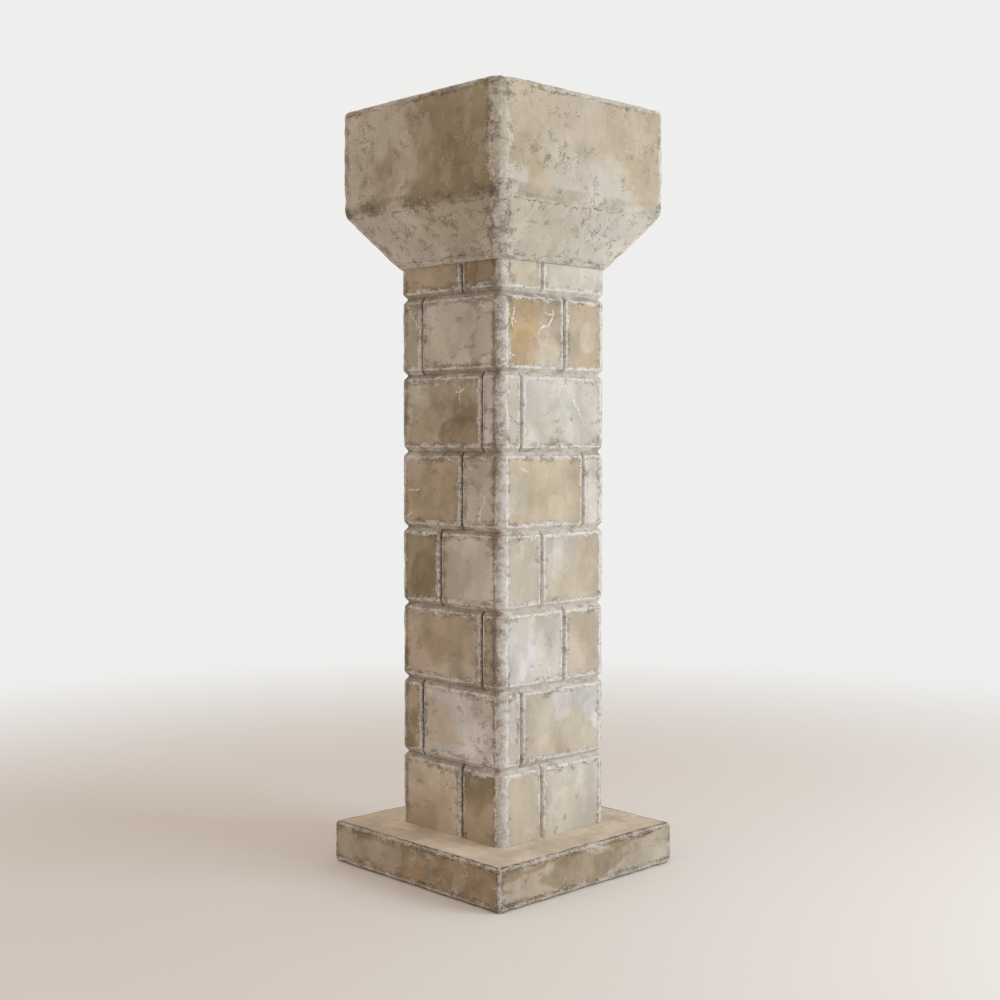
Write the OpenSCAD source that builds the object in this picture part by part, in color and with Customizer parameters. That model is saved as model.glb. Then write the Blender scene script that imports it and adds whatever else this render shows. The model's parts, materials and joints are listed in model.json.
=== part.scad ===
// Square pier of coursed ashlar: a plinth slab, eight courses of four stones each, and a splayed
// capital cut from one block. Courses and stones bear face to face.
// Frame: Z up, origin at the middle of the plinth's underside, faces square to X and Y.

/* [Plinth] */
// Width of the square plinth slab
plinth_w = 960; // [800:10:1200]
// Height of the plinth slab
plinth_h = 164; // [100:2:260]
// Radius worn on every edge of the plinth
plinth_edge_r = 16; // [6:1:30]

/* [Shaft] */
// Width of the square shaft
shaft_w = 580; // [480:10:720]
// Height of each full course
course_h = 300; // [220:5:400]
// Height of the bottom course
foot_course_h = 285; // [160:5:400]
// Height of the top course, cut down to meet the capital
head_course_h = 115; // [80:5:400]
// Number of full courses between the bottom and the top course
full_courses = 6; // [2:1:12]
// Radius of the shaft's four upright arrises
shaft_arris_r = 36; // [24:1:60]

/* [Joints] */
// Depth of the V cut into the face at every joint
joint_depth = 15; // [6:1:20]
// Height of the bevel on each side of a bed joint
bed_bevel = 19; // [8:1:30]
// Width of the bevel on each side of an upright joint
upright_bevel = 8; // [4:1:16]

/* [Bonding] */
// The four lengths the stones are cut to, as shares of the shaft's width
cut_lengths = [0.19, 0.38, 0.59, 0.775];
// Cut used on the front face (-Y) by each course, from its right-hand arris
front_cuts = [1, 3, 0, 2, 1, 0, 3, 1];
// Cut used on the right face (+X) by each course, from its front arris
right_cuts = [1, 0, 2, 1, 3, 0, 2, 1];
// Cut used where the hidden faces break joint with the face opposite
hidden_cuts = [2, 2, 3, 3, 2, 2, 3, 2];

/* [Capital] */
// Width of the capital's upright block
cap_w = 924; // [760:2:1200]
// Height of the capital's upright block
cap_block_h = 402; // [200:2:600]
// Width of the capital where it lands on the shaft
cap_foot_w = 640; // [600:2:760]
// Height of the splay below the block
cap_splay_h = 218; // [120:2:400]
// Radius of the capital's four upright arrises
cap_arris_r = 65; // [40:1:90]
// Radius of the capital's top edge
cap_top_r = 22; // [8:1:32]
// Radius of the capital's bottom edge
cap_foot_r = 28; // [8:1:32]

/* [Hidden] */
courses = full_courses + 2;
// Corners of the pier, as the sign of X and the sign of Y
corners = [[1, -1], [1, 1], [-1, 1], [-1, -1]];
corner_names = ["front_right", "back_right", "back_left", "front_left"];
// Angle between the capital's splay and the upright face above it
splay_angle = atan((cap_w - cap_foot_w) / 2 / cap_splay_h);
// How far a cutting outline runs past the face it cuts
spill = 1;
// Tones of the limestone: pale, buff, tan and umber
stone_colours = ["#d6cfc2", "#cbbea8", "#b8a488", "#9b8464"];
// Tone of each stone by course from the bottom, in the order of the corners above
stone_tones = [[2, 0, 2, 1], [0, 0, 1, 3], [0, 1, 0, 2], [1, 1, 2, 3],
               [1, 0, 1, 2], [0, 0, 1, 2], [1, 1, 2, 2], [2, 0, 1, 2]];

function stone_name(course, corner) = str("course_", course + 1, "_", corner_names[corner]);
function pick(list, course) = cut_lengths[list[course % len(list)]] * shaft_w;

// Height of a course, and the height at which it starts
function height_of(course) = course == 0 ? foot_course_h
                           : course == courses - 1 ? head_course_h
                           : course_h;
function start_of(course) = course == 0 ? plinth_h
                          : start_of(course - 1) + height_of(course - 1);
shaft_top = start_of(courses);

// Outer edge of a course in section, as [distance in front of the face, height]: each bed that
// meets another course is bevelled, and the beds on the plinth and under the capital are square.
function face_section(course) =
  let (h = height_of(course))
  concat(course == 0 ? [[0, 0]] : [[-joint_depth, 0], [0, bed_bevel]],
         course == courses - 1 ? [[0, h]] : [[0, h - bed_bevel], [-joint_depth, h]]);

// Where the upright joints of a course cross in plan, seen from one corner. In odd courses the
// joint from front to back runs straight through, in even courses the one from side to side.
function joint_x(course, corner) =
  shaft_w / 2 - (course % 2 == 1 && corners[corner].y > 0 ? pick(hidden_cuts, course)
                                                          : pick(front_cuts, course));
function joint_y(course, corner) =
  (course % 2 == 0 && corners[corner].x < 0 ? pick(hidden_cuts, course)
                                            : pick(right_cuts, course)) - shaft_w / 2;

// Upright post with the course's section, which carries the rounded arris
module arris_post(course) {
  h = height_of(course);
  rotate_extrude($fn = 48)
    polygon(concat([[0, 0]],
                   [for (p = face_section(course)) [shaft_arris_r + p.x, p.y]],
                   [[0, h]]));
}

// The flat faces of a course between two arrises
module face_wall(course) {
  section = face_section(course);
  last = len(section) - 1;
  rotate([90, 0, 0])
    linear_extrude(shaft_w - 2 * shaft_arris_r, center = true)
      polygon(concat([for (p = section) [shaft_w / 2 + p.x, p.y]],
                     [for (i = [last : -1 : 0]) [-shaft_w / 2 - section[i].x, section[i].y]]));
}

// A whole course before it is cut into stones
module whole_course(course) {
  inset = shaft_w / 2 - shaft_arris_r;
  union() {
    for (c = corners) translate([c.x * inset, c.y * inset, 0]) arris_post(course);
    face_wall(course);
    rotate([0, 0, 90]) face_wall(course);
  }
}

// Plan of one stone, bevelled where its two upright joints reach the face
module stone_plan(course, corner) {
  side = corners[corner];
  a = side.x * joint_x(course, corner);
  b = side.y * joint_y(course, corner);
  root = shaft_w / 2 - joint_depth;
  far = shaft_w / 2 + spill;
  rise = upright_bevel * (joint_depth + spill) / joint_depth;
  outline = [[a, b], [root, b], [far, b + rise], [far, far], [a + rise, far], [a, root]];
  polygon([for (p = outline) [side.x * p.x, side.y * p.y]]);
}

module stone(course, corner) {
  color(stone_colours[stone_tones[course % len(stone_tones)][corner]])
    translate([0, 0, start_of(course)])
      intersection() {
        whole_course(course);
        linear_extrude(height_of(course)) stone_plan(course, corner);
      }
}

// Four rounded corners set out on a square of the given width
module corner_rounds(w, arris_r, z) {
  inset = w / 2 - arris_r;
  for (c = corners) translate([c.x * inset, c.y * inset, z]) children();
}

// Quarter-round edge that turns round an arris
module edge_ring(arris_r, edge_r) {
  rotate_extrude($fn = 32) translate([arris_r - edge_r, 0]) circle(edge_r, $fn = 24);
}

// The plinth: a slab with all its edges worn round
module plinth() {
  inset = plinth_w / 2 - plinth_edge_r;
  color("#a8977b")
    union() {
      for (c = corners) translate([c.x * inset, c.y * inset, 0]) worn_post();
      worn_slab();
      rotate([0, 0, 90]) worn_slab();
    }
}

// Upright corner of the plinth, with rounded ends
module worn_post() {
  translate([0, 0, plinth_edge_r])
    cylinder(plinth_h - 2 * plinth_edge_r, r = plinth_edge_r, $fn = 48);
  for (z = [plinth_edge_r, plinth_h - plinth_edge_r])
    translate([0, 0, z]) sphere(plinth_edge_r, $fn = 48);
}

// The plinth between two of its faces, with rounded long edges
module worn_slab() {
  inset = plinth_w / 2 - plinth_edge_r;
  levels = [plinth_edge_r, plinth_h - plinth_edge_r];
  rotate([90, 0, 0])
    linear_extrude(2 * inset, center = true) {
      translate([-inset, 0]) square([2 * inset, plinth_h]);
      translate([-plinth_w / 2, plinth_edge_r]) square([plinth_w, levels[1] - levels[0]]);
      for (x = [-inset, inset], y = levels) translate([x, y]) circle(plinth_edge_r, $fn = 48);
    }
}

// The capital: an upright block over a splay, with a soft arris where the two meet
module capital() {
  color("#cdbfa6")
    translate([0, 0, shaft_top])
      hull() {
        corner_rounds(cap_foot_w, cap_arris_r, cap_foot_r) edge_ring(cap_arris_r, cap_foot_r);
        corner_rounds(cap_w, cap_arris_r, cap_splay_h + cap_arris_r * tan(splay_angle / 2))
          sphere(cap_arris_r, $fn = 32);
        corner_rounds(cap_w, cap_arris_r, cap_splay_h + cap_block_h - cap_top_r)
          edge_ring(cap_arris_r, cap_top_r);
      }
}

plinth();
for (course = [0 : courses - 1], corner = [0 : 3])
  stone(course, corner);
capital();
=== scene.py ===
"""Square ashlar column: the looks of every stone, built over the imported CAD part.

Each stone of the shaft, the plinth and the capital is a fine worn mesh of its own that stands in
the exact place of its CAD solid. One family of dry limestone finishes covers them all. Lengths
are in metres, Z is up, -Y is the front face of the column and +X its right face.
"""

import json
import logging
import math
from dataclasses import dataclass
from enum import Enum

import bpy
import numpy as np
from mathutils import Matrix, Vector


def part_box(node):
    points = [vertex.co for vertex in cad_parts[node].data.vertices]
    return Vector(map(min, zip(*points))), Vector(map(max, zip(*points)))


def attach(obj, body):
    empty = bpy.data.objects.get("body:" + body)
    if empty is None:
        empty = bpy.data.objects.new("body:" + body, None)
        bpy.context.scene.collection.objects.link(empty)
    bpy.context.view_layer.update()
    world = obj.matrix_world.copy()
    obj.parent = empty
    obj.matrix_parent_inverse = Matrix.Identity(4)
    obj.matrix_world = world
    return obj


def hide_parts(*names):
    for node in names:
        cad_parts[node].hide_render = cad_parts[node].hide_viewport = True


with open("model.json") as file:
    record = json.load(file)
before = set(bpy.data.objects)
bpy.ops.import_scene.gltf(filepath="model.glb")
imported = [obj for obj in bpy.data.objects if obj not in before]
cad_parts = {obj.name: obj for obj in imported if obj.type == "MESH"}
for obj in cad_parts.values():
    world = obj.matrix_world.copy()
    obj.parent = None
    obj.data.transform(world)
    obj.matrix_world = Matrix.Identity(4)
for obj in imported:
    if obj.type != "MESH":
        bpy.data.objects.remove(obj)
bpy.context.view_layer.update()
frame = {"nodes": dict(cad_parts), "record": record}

LOG = logging.getLogger("column")
ROOT_BODY = "root"
MM = 0.001


# --------------------------------------------------------------------------- colours and places


class Tone(Enum):
    """Colours of the limestone and its dirt, as they look in plain daylight; the darkest soot tone
    and the grime tone also paint shade in the joints and on the capital's break.
    """

    WHITE = "#ebe7e2"
    CHALK = "#dcd7d2"
    CREAM = "#d8cab5"
    LILAC = "#cfcccb"
    PEARL = "#cdc8be"
    IVORY = "#c8c0b2"
    GREIGE = "#c5bcad"
    SAND = "#c2b6a4"
    BUFF = "#beb09a"
    TAUPE = "#bcb2a2"
    ROSE = "#bca796"
    TAN = "#b4a48c"
    OCHRE = "#b8a17c"
    RUST = "#ae8f6b"
    ASH = "#a8a299"
    OLIVE = "#a19479"
    CLAY = "#9f8b70"
    UMBER = "#8d7b60"
    # Also paints shade: greyer dust and bands on the shaded sides.
    GRIME = "#8b7e6a"
    DARK = "#705e49"
    # Also paints shade: the dark core deep in the joints.
    SOOT = "#5c5146"

    def linear(self) -> np.ndarray:
        """The colour as three linear values from 0 to 1.

        Returns:
            Red, green and blue.
        """
        code = self.value.lstrip("#")
        channels = np.array([int(code[i : i + 2], 16) / 255 for i in (0, 2, 4)])
        return np.where(channels <= 0.04045, channels / 12.92, ((channels + 0.055) / 1.055) ** 2.4)

    def rgba(self) -> tuple[float, float, float, float]:
        """The colour as a linear tuple with full alpha."""
        red, green, blue = self.linear()
        return (float(red), float(green), float(blue), 1.0)


class Face(Enum):
    """The four sides of the column, each with its outward direction in plan."""

    FRONT = (0, -1)
    RIGHT = (1, 0)
    BACK = (0, 1)
    LEFT = (-1, 0)


class Spot(Enum):
    """Places on a block's face, as shares of its width from the left and of its height."""

    MIDDLE = (0.5, 0.5)
    LEFT = (0.15, 0.5)
    RIGHT = (0.85, 0.5)
    TOP = (0.5, 0.85)
    FOOT = (0.5, 0.15)
    TOP_LEFT = (0.2, 0.8)
    TOP_RIGHT = (0.8, 0.8)
    LOW_LEFT = (0.2, 0.2)
    LOW_RIGHT = (0.8, 0.2)
    BY_ARRIS = (0.06, 0.42)


@dataclass(frozen=True)
class Stain:
    """A cloud of colour on one face of a block."""

    spot: Spot
    tone: Tone
    spread: float = 0.35
    strength: float = 0.8
    softness: float = 0.125


# ------------------------------------------------------------------------------- seeded patterns


class LatticeNoise:
    """Smooth noise on a cubic lattice, the same on every run for the same seed."""

    SIZE = 256
    LAYER_SHIFT = 17.3
    LAYER_SUM = 1.4

    def __init__(self, seed: int) -> None:
        """Draws the lattice.

        Args:
            seed: Number that fixes the pattern.
        """
        rng = np.random.default_rng(seed)
        self.order = rng.permutation(self.SIZE)
        self.values = rng.uniform(-1, 1, self.SIZE)

    def _corner(self, x: np.ndarray, y: np.ndarray, z: np.ndarray) -> np.ndarray:
        """Value at a lattice corner."""
        mask = self.SIZE - 1
        return self.values[self.order[(self.order[(self.order[x & mask] + y) & mask] + z) & mask]]

    def at(self, points: np.ndarray, scale: float) -> np.ndarray:
        """Samples the noise.

        Args:
            points: Array of shape (n, 3), in metres.
            scale: Lattice cells per metre.

        Returns:
            One value from -1 to 1 for each point.
        """
        scaled = points * scale
        cell = np.floor(scaled).astype(np.int64)
        part = scaled - cell
        part = part * part * (3 - 2 * part)
        total = np.zeros(len(points))
        for step in np.ndindex(2, 2, 2):
            wx, wy, wz = (part[:, i] if far else 1 - part[:, i] for i, far in enumerate(step))
            total += wx * wy * wz * self._corner(*(cell + np.array(step)).T)
        return total

    def fractal(self, points: np.ndarray, scale: float, octaves: int = 3) -> np.ndarray:
        """Adds up finer and finer layers of the noise.

        Args:
            points: Array of shape (n, 3), in metres.
            scale: Lattice cells per metre of the coarsest layer.
            octaves: Number of layers.

        Returns:
            One value, mostly from -1 to 1, for each point.
        """
        total = np.zeros(len(points))
        weight = 1.0
        for octave in range(octaves):
            total += weight * self.at(points + self.LAYER_SHIFT * octave, scale * 2**octave)
            weight *= 0.5
        return total / self.LAYER_SUM


class PitField:
    """Round holes scattered through the stone, one at most in each cubic cell."""

    SIZE = 4096
    STRIDES = np.array([73, 151, 283])
    SMALLEST = 0.15
    SPREAD = 0.35

    def __init__(self, seed: int, cell: float, chance: float) -> None:
        """Sets out the cells.

        Args:
            seed: Number that fixes the pattern.
            cell: Side of a cell in metres.
            chance: Share of the cells that hold a pit.
        """
        rng = np.random.default_rng(seed)
        self.cell = cell
        self.chance = chance
        self.order = rng.permutation(self.SIZE)
        self.draws = rng.random((self.SIZE, 5))

    def depth(self, points: np.ndarray) -> np.ndarray:
        """Measures how deep each point lies in a pit.

        Args:
            points: Array of shape (n, 3), in metres.

        Returns:
            Share of full depth, from 0 outside the pits to 1 in the middle of the largest.
        """
        scaled = points / self.cell
        base = np.floor(scaled).astype(np.int64)
        deepest = np.zeros(len(points))
        for step in np.ndindex(3, 3, 3):
            cell = base + np.array(step) - 1
            draw = self.draws[self.order[(cell * self.STRIDES).sum(axis=1) & (self.SIZE - 1)]]
            radius = self.SMALLEST + self.SPREAD * draw[:, 4]
            gap = np.linalg.norm(scaled - cell - draw[:, :3], axis=1)
            bowl = np.clip(1 - (gap / radius) ** 2, 0, 1) * radius * 2
            deepest = np.maximum(deepest, np.where(draw[:, 3] < self.chance, bowl, 0))
        return deepest


def smooth_step(low: float, high: float, value: np.ndarray) -> np.ndarray:
    """Eases from 0 at low to 1 at high."""
    share = np.clip((value - low) / (high - low), 0, 1)
    return share * share * (3 - 2 * share)


def soft_max(a: np.ndarray, b: np.ndarray, blend: float) -> np.ndarray:
    """The larger of two lengths, rounded over where they cross."""
    return 0.5 * (a + b + np.sqrt((a - b) ** 2 + blend**2))


def bell(distance: np.ndarray, reach: float) -> np.ndarray:
    """One where a distance is nought, fading out past a reach."""
    return np.exp(-((distance / reach) ** 2))


def nearest_of(gaps: list[np.ndarray]) -> np.ndarray:
    """Of several signed distances, the one that is closest to nought at each point."""
    stack = np.stack(gaps)
    return np.take_along_axis(stack, np.abs(stack).argmin(axis=0)[None], axis=0)[0]


WAVES = LatticeNoise(11)
CHIPS = LatticeNoise(23)
CLOUDS = LatticeNoise(37)
PITS = PitField(5, 22 * MM, 0.30)


# ------------------------------------------------------------------------------ meshes with wear


@dataclass
class Skin:
    """A mesh in the making, with what the finish needs to know of each point.

    The values are: rim, the distance from the nearest worn edge; cleft and seam, how deep in any
    joint and in an upright one; line and crack, the distance from the nearest dark line and pale
    crack; soot, how much grime, with painted shade added on the shaded sides; pitting, how many small
    holes.
    """

    points: np.ndarray
    faces: list[list[int]]
    tint: np.ndarray
    values: dict[str, np.ndarray]
    offset: tuple[float, float, float]

    def to_object(self, name: str, material: bpy.types.Material) -> bpy.types.Object:
        """Makes the Blender object.

        Args:
            name: Name of the piece.
            material: Finish that it wears.

        Returns:
            The linked object, smooth shaded.
        """
        mesh = bpy.data.meshes.new(name)
        mesh.from_pydata(self.points.tolist(), [], self.faces)
        mesh.validate()
        mesh.shade_smooth()
        for key, value in self.values.items():
            layer = mesh.attributes.new(key, "FLOAT", "POINT")
            layer.data.foreach_set("value", value.astype(np.float32))
        layer = mesh.attributes.new("tint", "FLOAT_COLOR", "POINT")
        colour = np.ones((len(self.points), 4), np.float32)
        colour[:, :3] = self.tint
        layer.data.foreach_set("color", colour.ravel())
        layer = mesh.attributes.new("grain", "FLOAT_VECTOR", "POINT")
        grain = (self.points + np.array(self.offset)).astype(np.float32)
        layer.data.foreach_set("vector", grain.ravel())
        mesh.materials.append(material)
        piece = bpy.data.objects.new(name, mesh)
        bpy.context.scene.collection.objects.link(piece)
        return piece


def ring_quads(rows: int, columns: int, outward: bool) -> np.ndarray:
    """Quads of a closed tube.

    Args:
        rows: Number of rings.
        columns: Points in each ring.
        outward: True where the columns run anticlockwise seen from above.

    Returns:
        Array of four point numbers a quad.
    """
    row, column = np.meshgrid(np.arange(rows - 1), np.arange(columns), indexing="ij")
    after = (column + 1) % columns
    corners = [row * columns + column, row * columns + after]
    corners += [(row + 1) * columns + after, (row + 1) * columns + column]
    if not outward:
        corners.reverse()
    return np.stack(corners, axis=-1).reshape(-1, 4)


STAIN_SHIFT = 3.7
STAIN_RAGGED = 0.9
STAIN_EDGE = 0.975
INSIDE_RIM = -5 * MM
HIDDEN_GRIME_SHADE = 0.3
PATTERN_STEPS = (1.7, 2.3, 3.1)
# The front and left sides face away from the lamp; the extra grime they get is partly painted shade.
SHADED_SIDES = (Face.FRONT, Face.LEFT)


def paint_stains(
    base: np.ndarray, u: np.ndarray, v: np.ndarray, points: np.ndarray, stains: list[Stain]
) -> np.ndarray:
    """Lays clouds of colour over a face.

    Args:
        base: Colour of each point before staining, of shape (n, 3).
        u: Share of the face's width at each point, from its left.
        v: Share of the face's height at each point.
        points: The points themselves, for the ragged outline of the clouds.
        stains: Clouds, laid in order.

    Returns:
        The stained colours.
    """
    tint = base
    for index, stain in enumerate(stains):
        wobble = STAIN_RAGGED * CLOUDS.fractal(points + STAIN_SHIFT * (index + 1), 7, 5)
        reach = np.hypot(u - stain.spot.value[0], v - stain.spot.value[1]) / stain.spread
        soft = stain.softness
        cover = stain.strength * smooth_step(STAIN_EDGE + soft, STAIN_EDGE - soft, reach + wobble)
        tint = tint * (1 - cover[:, None]) + stain.tone.linear() * cover[:, None]
    return tint


# ------------------------------------------------------------------------------------ the finish


class Graph:
    """Short ways to add nodes to a material."""

    def __init__(self, tree: bpy.types.NodeTree) -> None:
        """Starts on an emptied node tree.

        Args:
            tree: Node tree of the material or the world.
        """
        self.tree = tree
        tree.nodes.clear()

    def node(self, kind: str, inputs: dict | None = None, **settings: object) -> bpy.types.Node:
        """Adds a node.

        Args:
            kind: Type of the node.
            inputs: What goes into it by name or number, as a socket to link or a plain value.
            settings: Properties of the node.

        Returns:
            The new node.
        """
        made = self.tree.nodes.new(kind)
        for key, value in settings.items():
            setattr(made, key, value)
        for key, value in (inputs or {}).items():
            if isinstance(value, bpy.types.NodeSocket):
                self.tree.links.new(value, made.inputs[key])
            else:
                made.inputs[key].default_value = value
        return made

    def attribute(self, name: str, output: str = "Fac") -> bpy.types.NodeSocket:
        """Reads a value stored on the mesh."""
        return self.node("ShaderNodeAttribute", attribute_name=name).outputs[output]

    def math(self, operation: str, a: object, b: object = 0.0) -> bpy.types.NodeSocket:
        """One sum of two values."""
        return self.node("ShaderNodeMath", {0: a, 1: b}, operation=operation).outputs[0]

    def add(self, a: object, b: object) -> bpy.types.NodeSocket:
        """Sum of two values."""
        return self.math("ADD", a, b)

    def times(self, a: object, b: object) -> bpy.types.NodeSocket:
        """Product of two values."""
        return self.math("MULTIPLY", a, b)

    def vector(self, operation: str, a: object, b: object) -> bpy.types.NodeSocket:
        """One sum of two vectors."""
        return self.node("ShaderNodeVectorMath", {0: a, 1: b}, operation=operation).outputs[0]

    def noise(self, vector: object, scale: float, detail: float = 3.0, roughness: float = 0.55,
              distortion: float = 0.0) -> bpy.types.NodeSocket:
        """Cloudy noise from 0 to 1, at a scale in cells per metre.

        Args:
            vector: The pattern's coordinates.
            scale: Cells per metre.
            detail: Number of finer layers.
            roughness: How strong the finer layers are.
            distortion: How much the cloud is twisted.

        Returns:
            The noise.
        """
        inputs = {"Vector": vector, "Scale": scale, "Detail": detail, "Roughness": roughness,
                  "Distortion": distortion}
        return self.node("ShaderNodeTexNoise", inputs).outputs["Fac"]

    def warp(self, vector: object, scale: float, reach: float,
             detail: float) -> bpy.types.NodeSocket:
        """Shifts the pattern's coordinates about by up to a reach.

        Args:
            vector: The pattern's coordinates.
            scale: Cells per metre of the noise that shifts them.
            reach: Furthest shift in metres.
            detail: Number of finer layers in that noise.

        Returns:
            The shifted coordinates.
        """
        inputs = {"Vector": vector, "Scale": scale, "Detail": detail}
        shift = self.node("ShaderNodeTexNoise", inputs).outputs["Color"]
        return self.vector("ADD", vector, self.stretch(shift, (reach, reach, reach)))

    def patches(self, vector: object, scale: float) -> bpy.types.NodeSocket:
        """Boxy patches with ragged edges, each with a value of its own from 0 to 1.

        Args:
            vector: The pattern's coordinates.
            scale: Patches per metre.

        Returns:
            The value of the patch that each point is in.
        """
        inputs = {"Vector": self.warp(vector, scale * 3, 0.35 / scale, 5), "Scale": scale}
        cell = self.node("ShaderNodeTexVoronoi", inputs, feature="F1", distance="CHEBYCHEV")
        return self.node("ShaderNodeSeparateColor", {0: cell.outputs["Color"]}).outputs[0]

    def stretch(self, vector: object, scale: tuple[float, float, float]) -> bpy.types.NodeSocket:
        """Scales the pattern's coordinates along each axis."""
        return self.vector("MULTIPLY", vector, scale)

    def ease(self, value: object, low: float, high: float, to_low: float = 0.0,
             to_high: float = 1.0) -> bpy.types.NodeSocket:
        """Eases a value from one range to another.

        Args:
            value: What is eased.
            low: Value where the ease starts.
            high: Value where it ends.
            to_low: Result at the start.
            to_high: Result at the end.

        Returns:
            The eased value.
        """
        inputs = {"Value": value, "From Min": low, "From Max": high, "To Min": to_low,
                  "To Max": to_high}
        made = self.node("ShaderNodeMapRange", inputs, interpolation_type="SMOOTHSTEP")
        return made.outputs["Result"]

    def stripe(self, value: object, low: float, high: float) -> bpy.types.NodeSocket:
        """One between two values, nought outside them.

        Args:
            value: What is tested.
            low: Lower side of the stripe.
            high: Upper side.

        Returns:
            The stripe, with soft sides.
        """
        soft = 0.001
        rise = self.ease(value, low - soft, low + soft)
        return self.times(rise, self.ease(value, high - soft, high + soft, 1.0, 0.0))

    def mix(self, share: object, a: object, b: object, blend: str = "MIX") -> bpy.types.NodeSocket:
        """Mixes two colours.

        Args:
            share: Share of the second colour.
            a: First colour.
            b: Second colour.
            blend: How the second is laid over the first.

        Returns:
            The mixed colour.
        """
        inputs = {"Factor": share, "A": a, "B": b}
        made = self.node("ShaderNodeMix", inputs, data_type="RGBA", blend_type=blend)
        return made.outputs["Result"]

    def seen_directly(self) -> bpy.types.NodeSocket:
        """One where the camera sees a thing itself, or in a mirror or through glass.

        Returns:
            The value, one or nought.
        """
        path = self.node("ShaderNodeLightPath")
        either = self.math("MAXIMUM", path.outputs["Is Camera Ray"], path.outputs["Is Glossy Ray"])
        return self.math("MAXIMUM", either, path.outputs["Is Transmission Ray"])

    def finish(self, kind: str, shader: bpy.types.NodeSocket) -> None:
        """Leads a shader to the material's or the world's output."""
        self.node(kind, {"Surface": shader})


class StoneGraph(Graph):
    """A stone's node tree, with the values of its mesh at hand."""

    def __init__(self, tree: bpy.types.NodeTree) -> None:
        """Reads the mesh's values.

        Args:
            tree: Node tree of the stone's material.
        """
        super().__init__(tree)
        self.grain = self.attribute("grain", "Vector")
        self.rim, self.grime_shade = self.attribute("rim"), self.attribute("grime_shade")

    def grit(self, scale: float, detail: float = 3.0, roughness: float = 0.55,
             distortion: float = 0.0) -> bpy.types.NodeSocket:
        """Noise that is fixed to the stone."""
        return self.noise(self.grain, scale, detail, roughness, distortion)

    def shake(self, scale: float, detail: float, roughness: float,
              reach: float) -> bpy.types.NodeSocket:
        """Noise that is fixed to the stone, as a shift of up to a reach either way."""
        return self.ease(self.grit(scale, detail, roughness), 0.3, 0.7, -reach, reach)

    def with_grime_shade(self, value: object, weight: float) -> bpy.types.NodeSocket:
        """A value raised where the stone holds grime and painted shade."""
        return self.add(value, self.times(self.grime_shade, weight))


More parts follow.
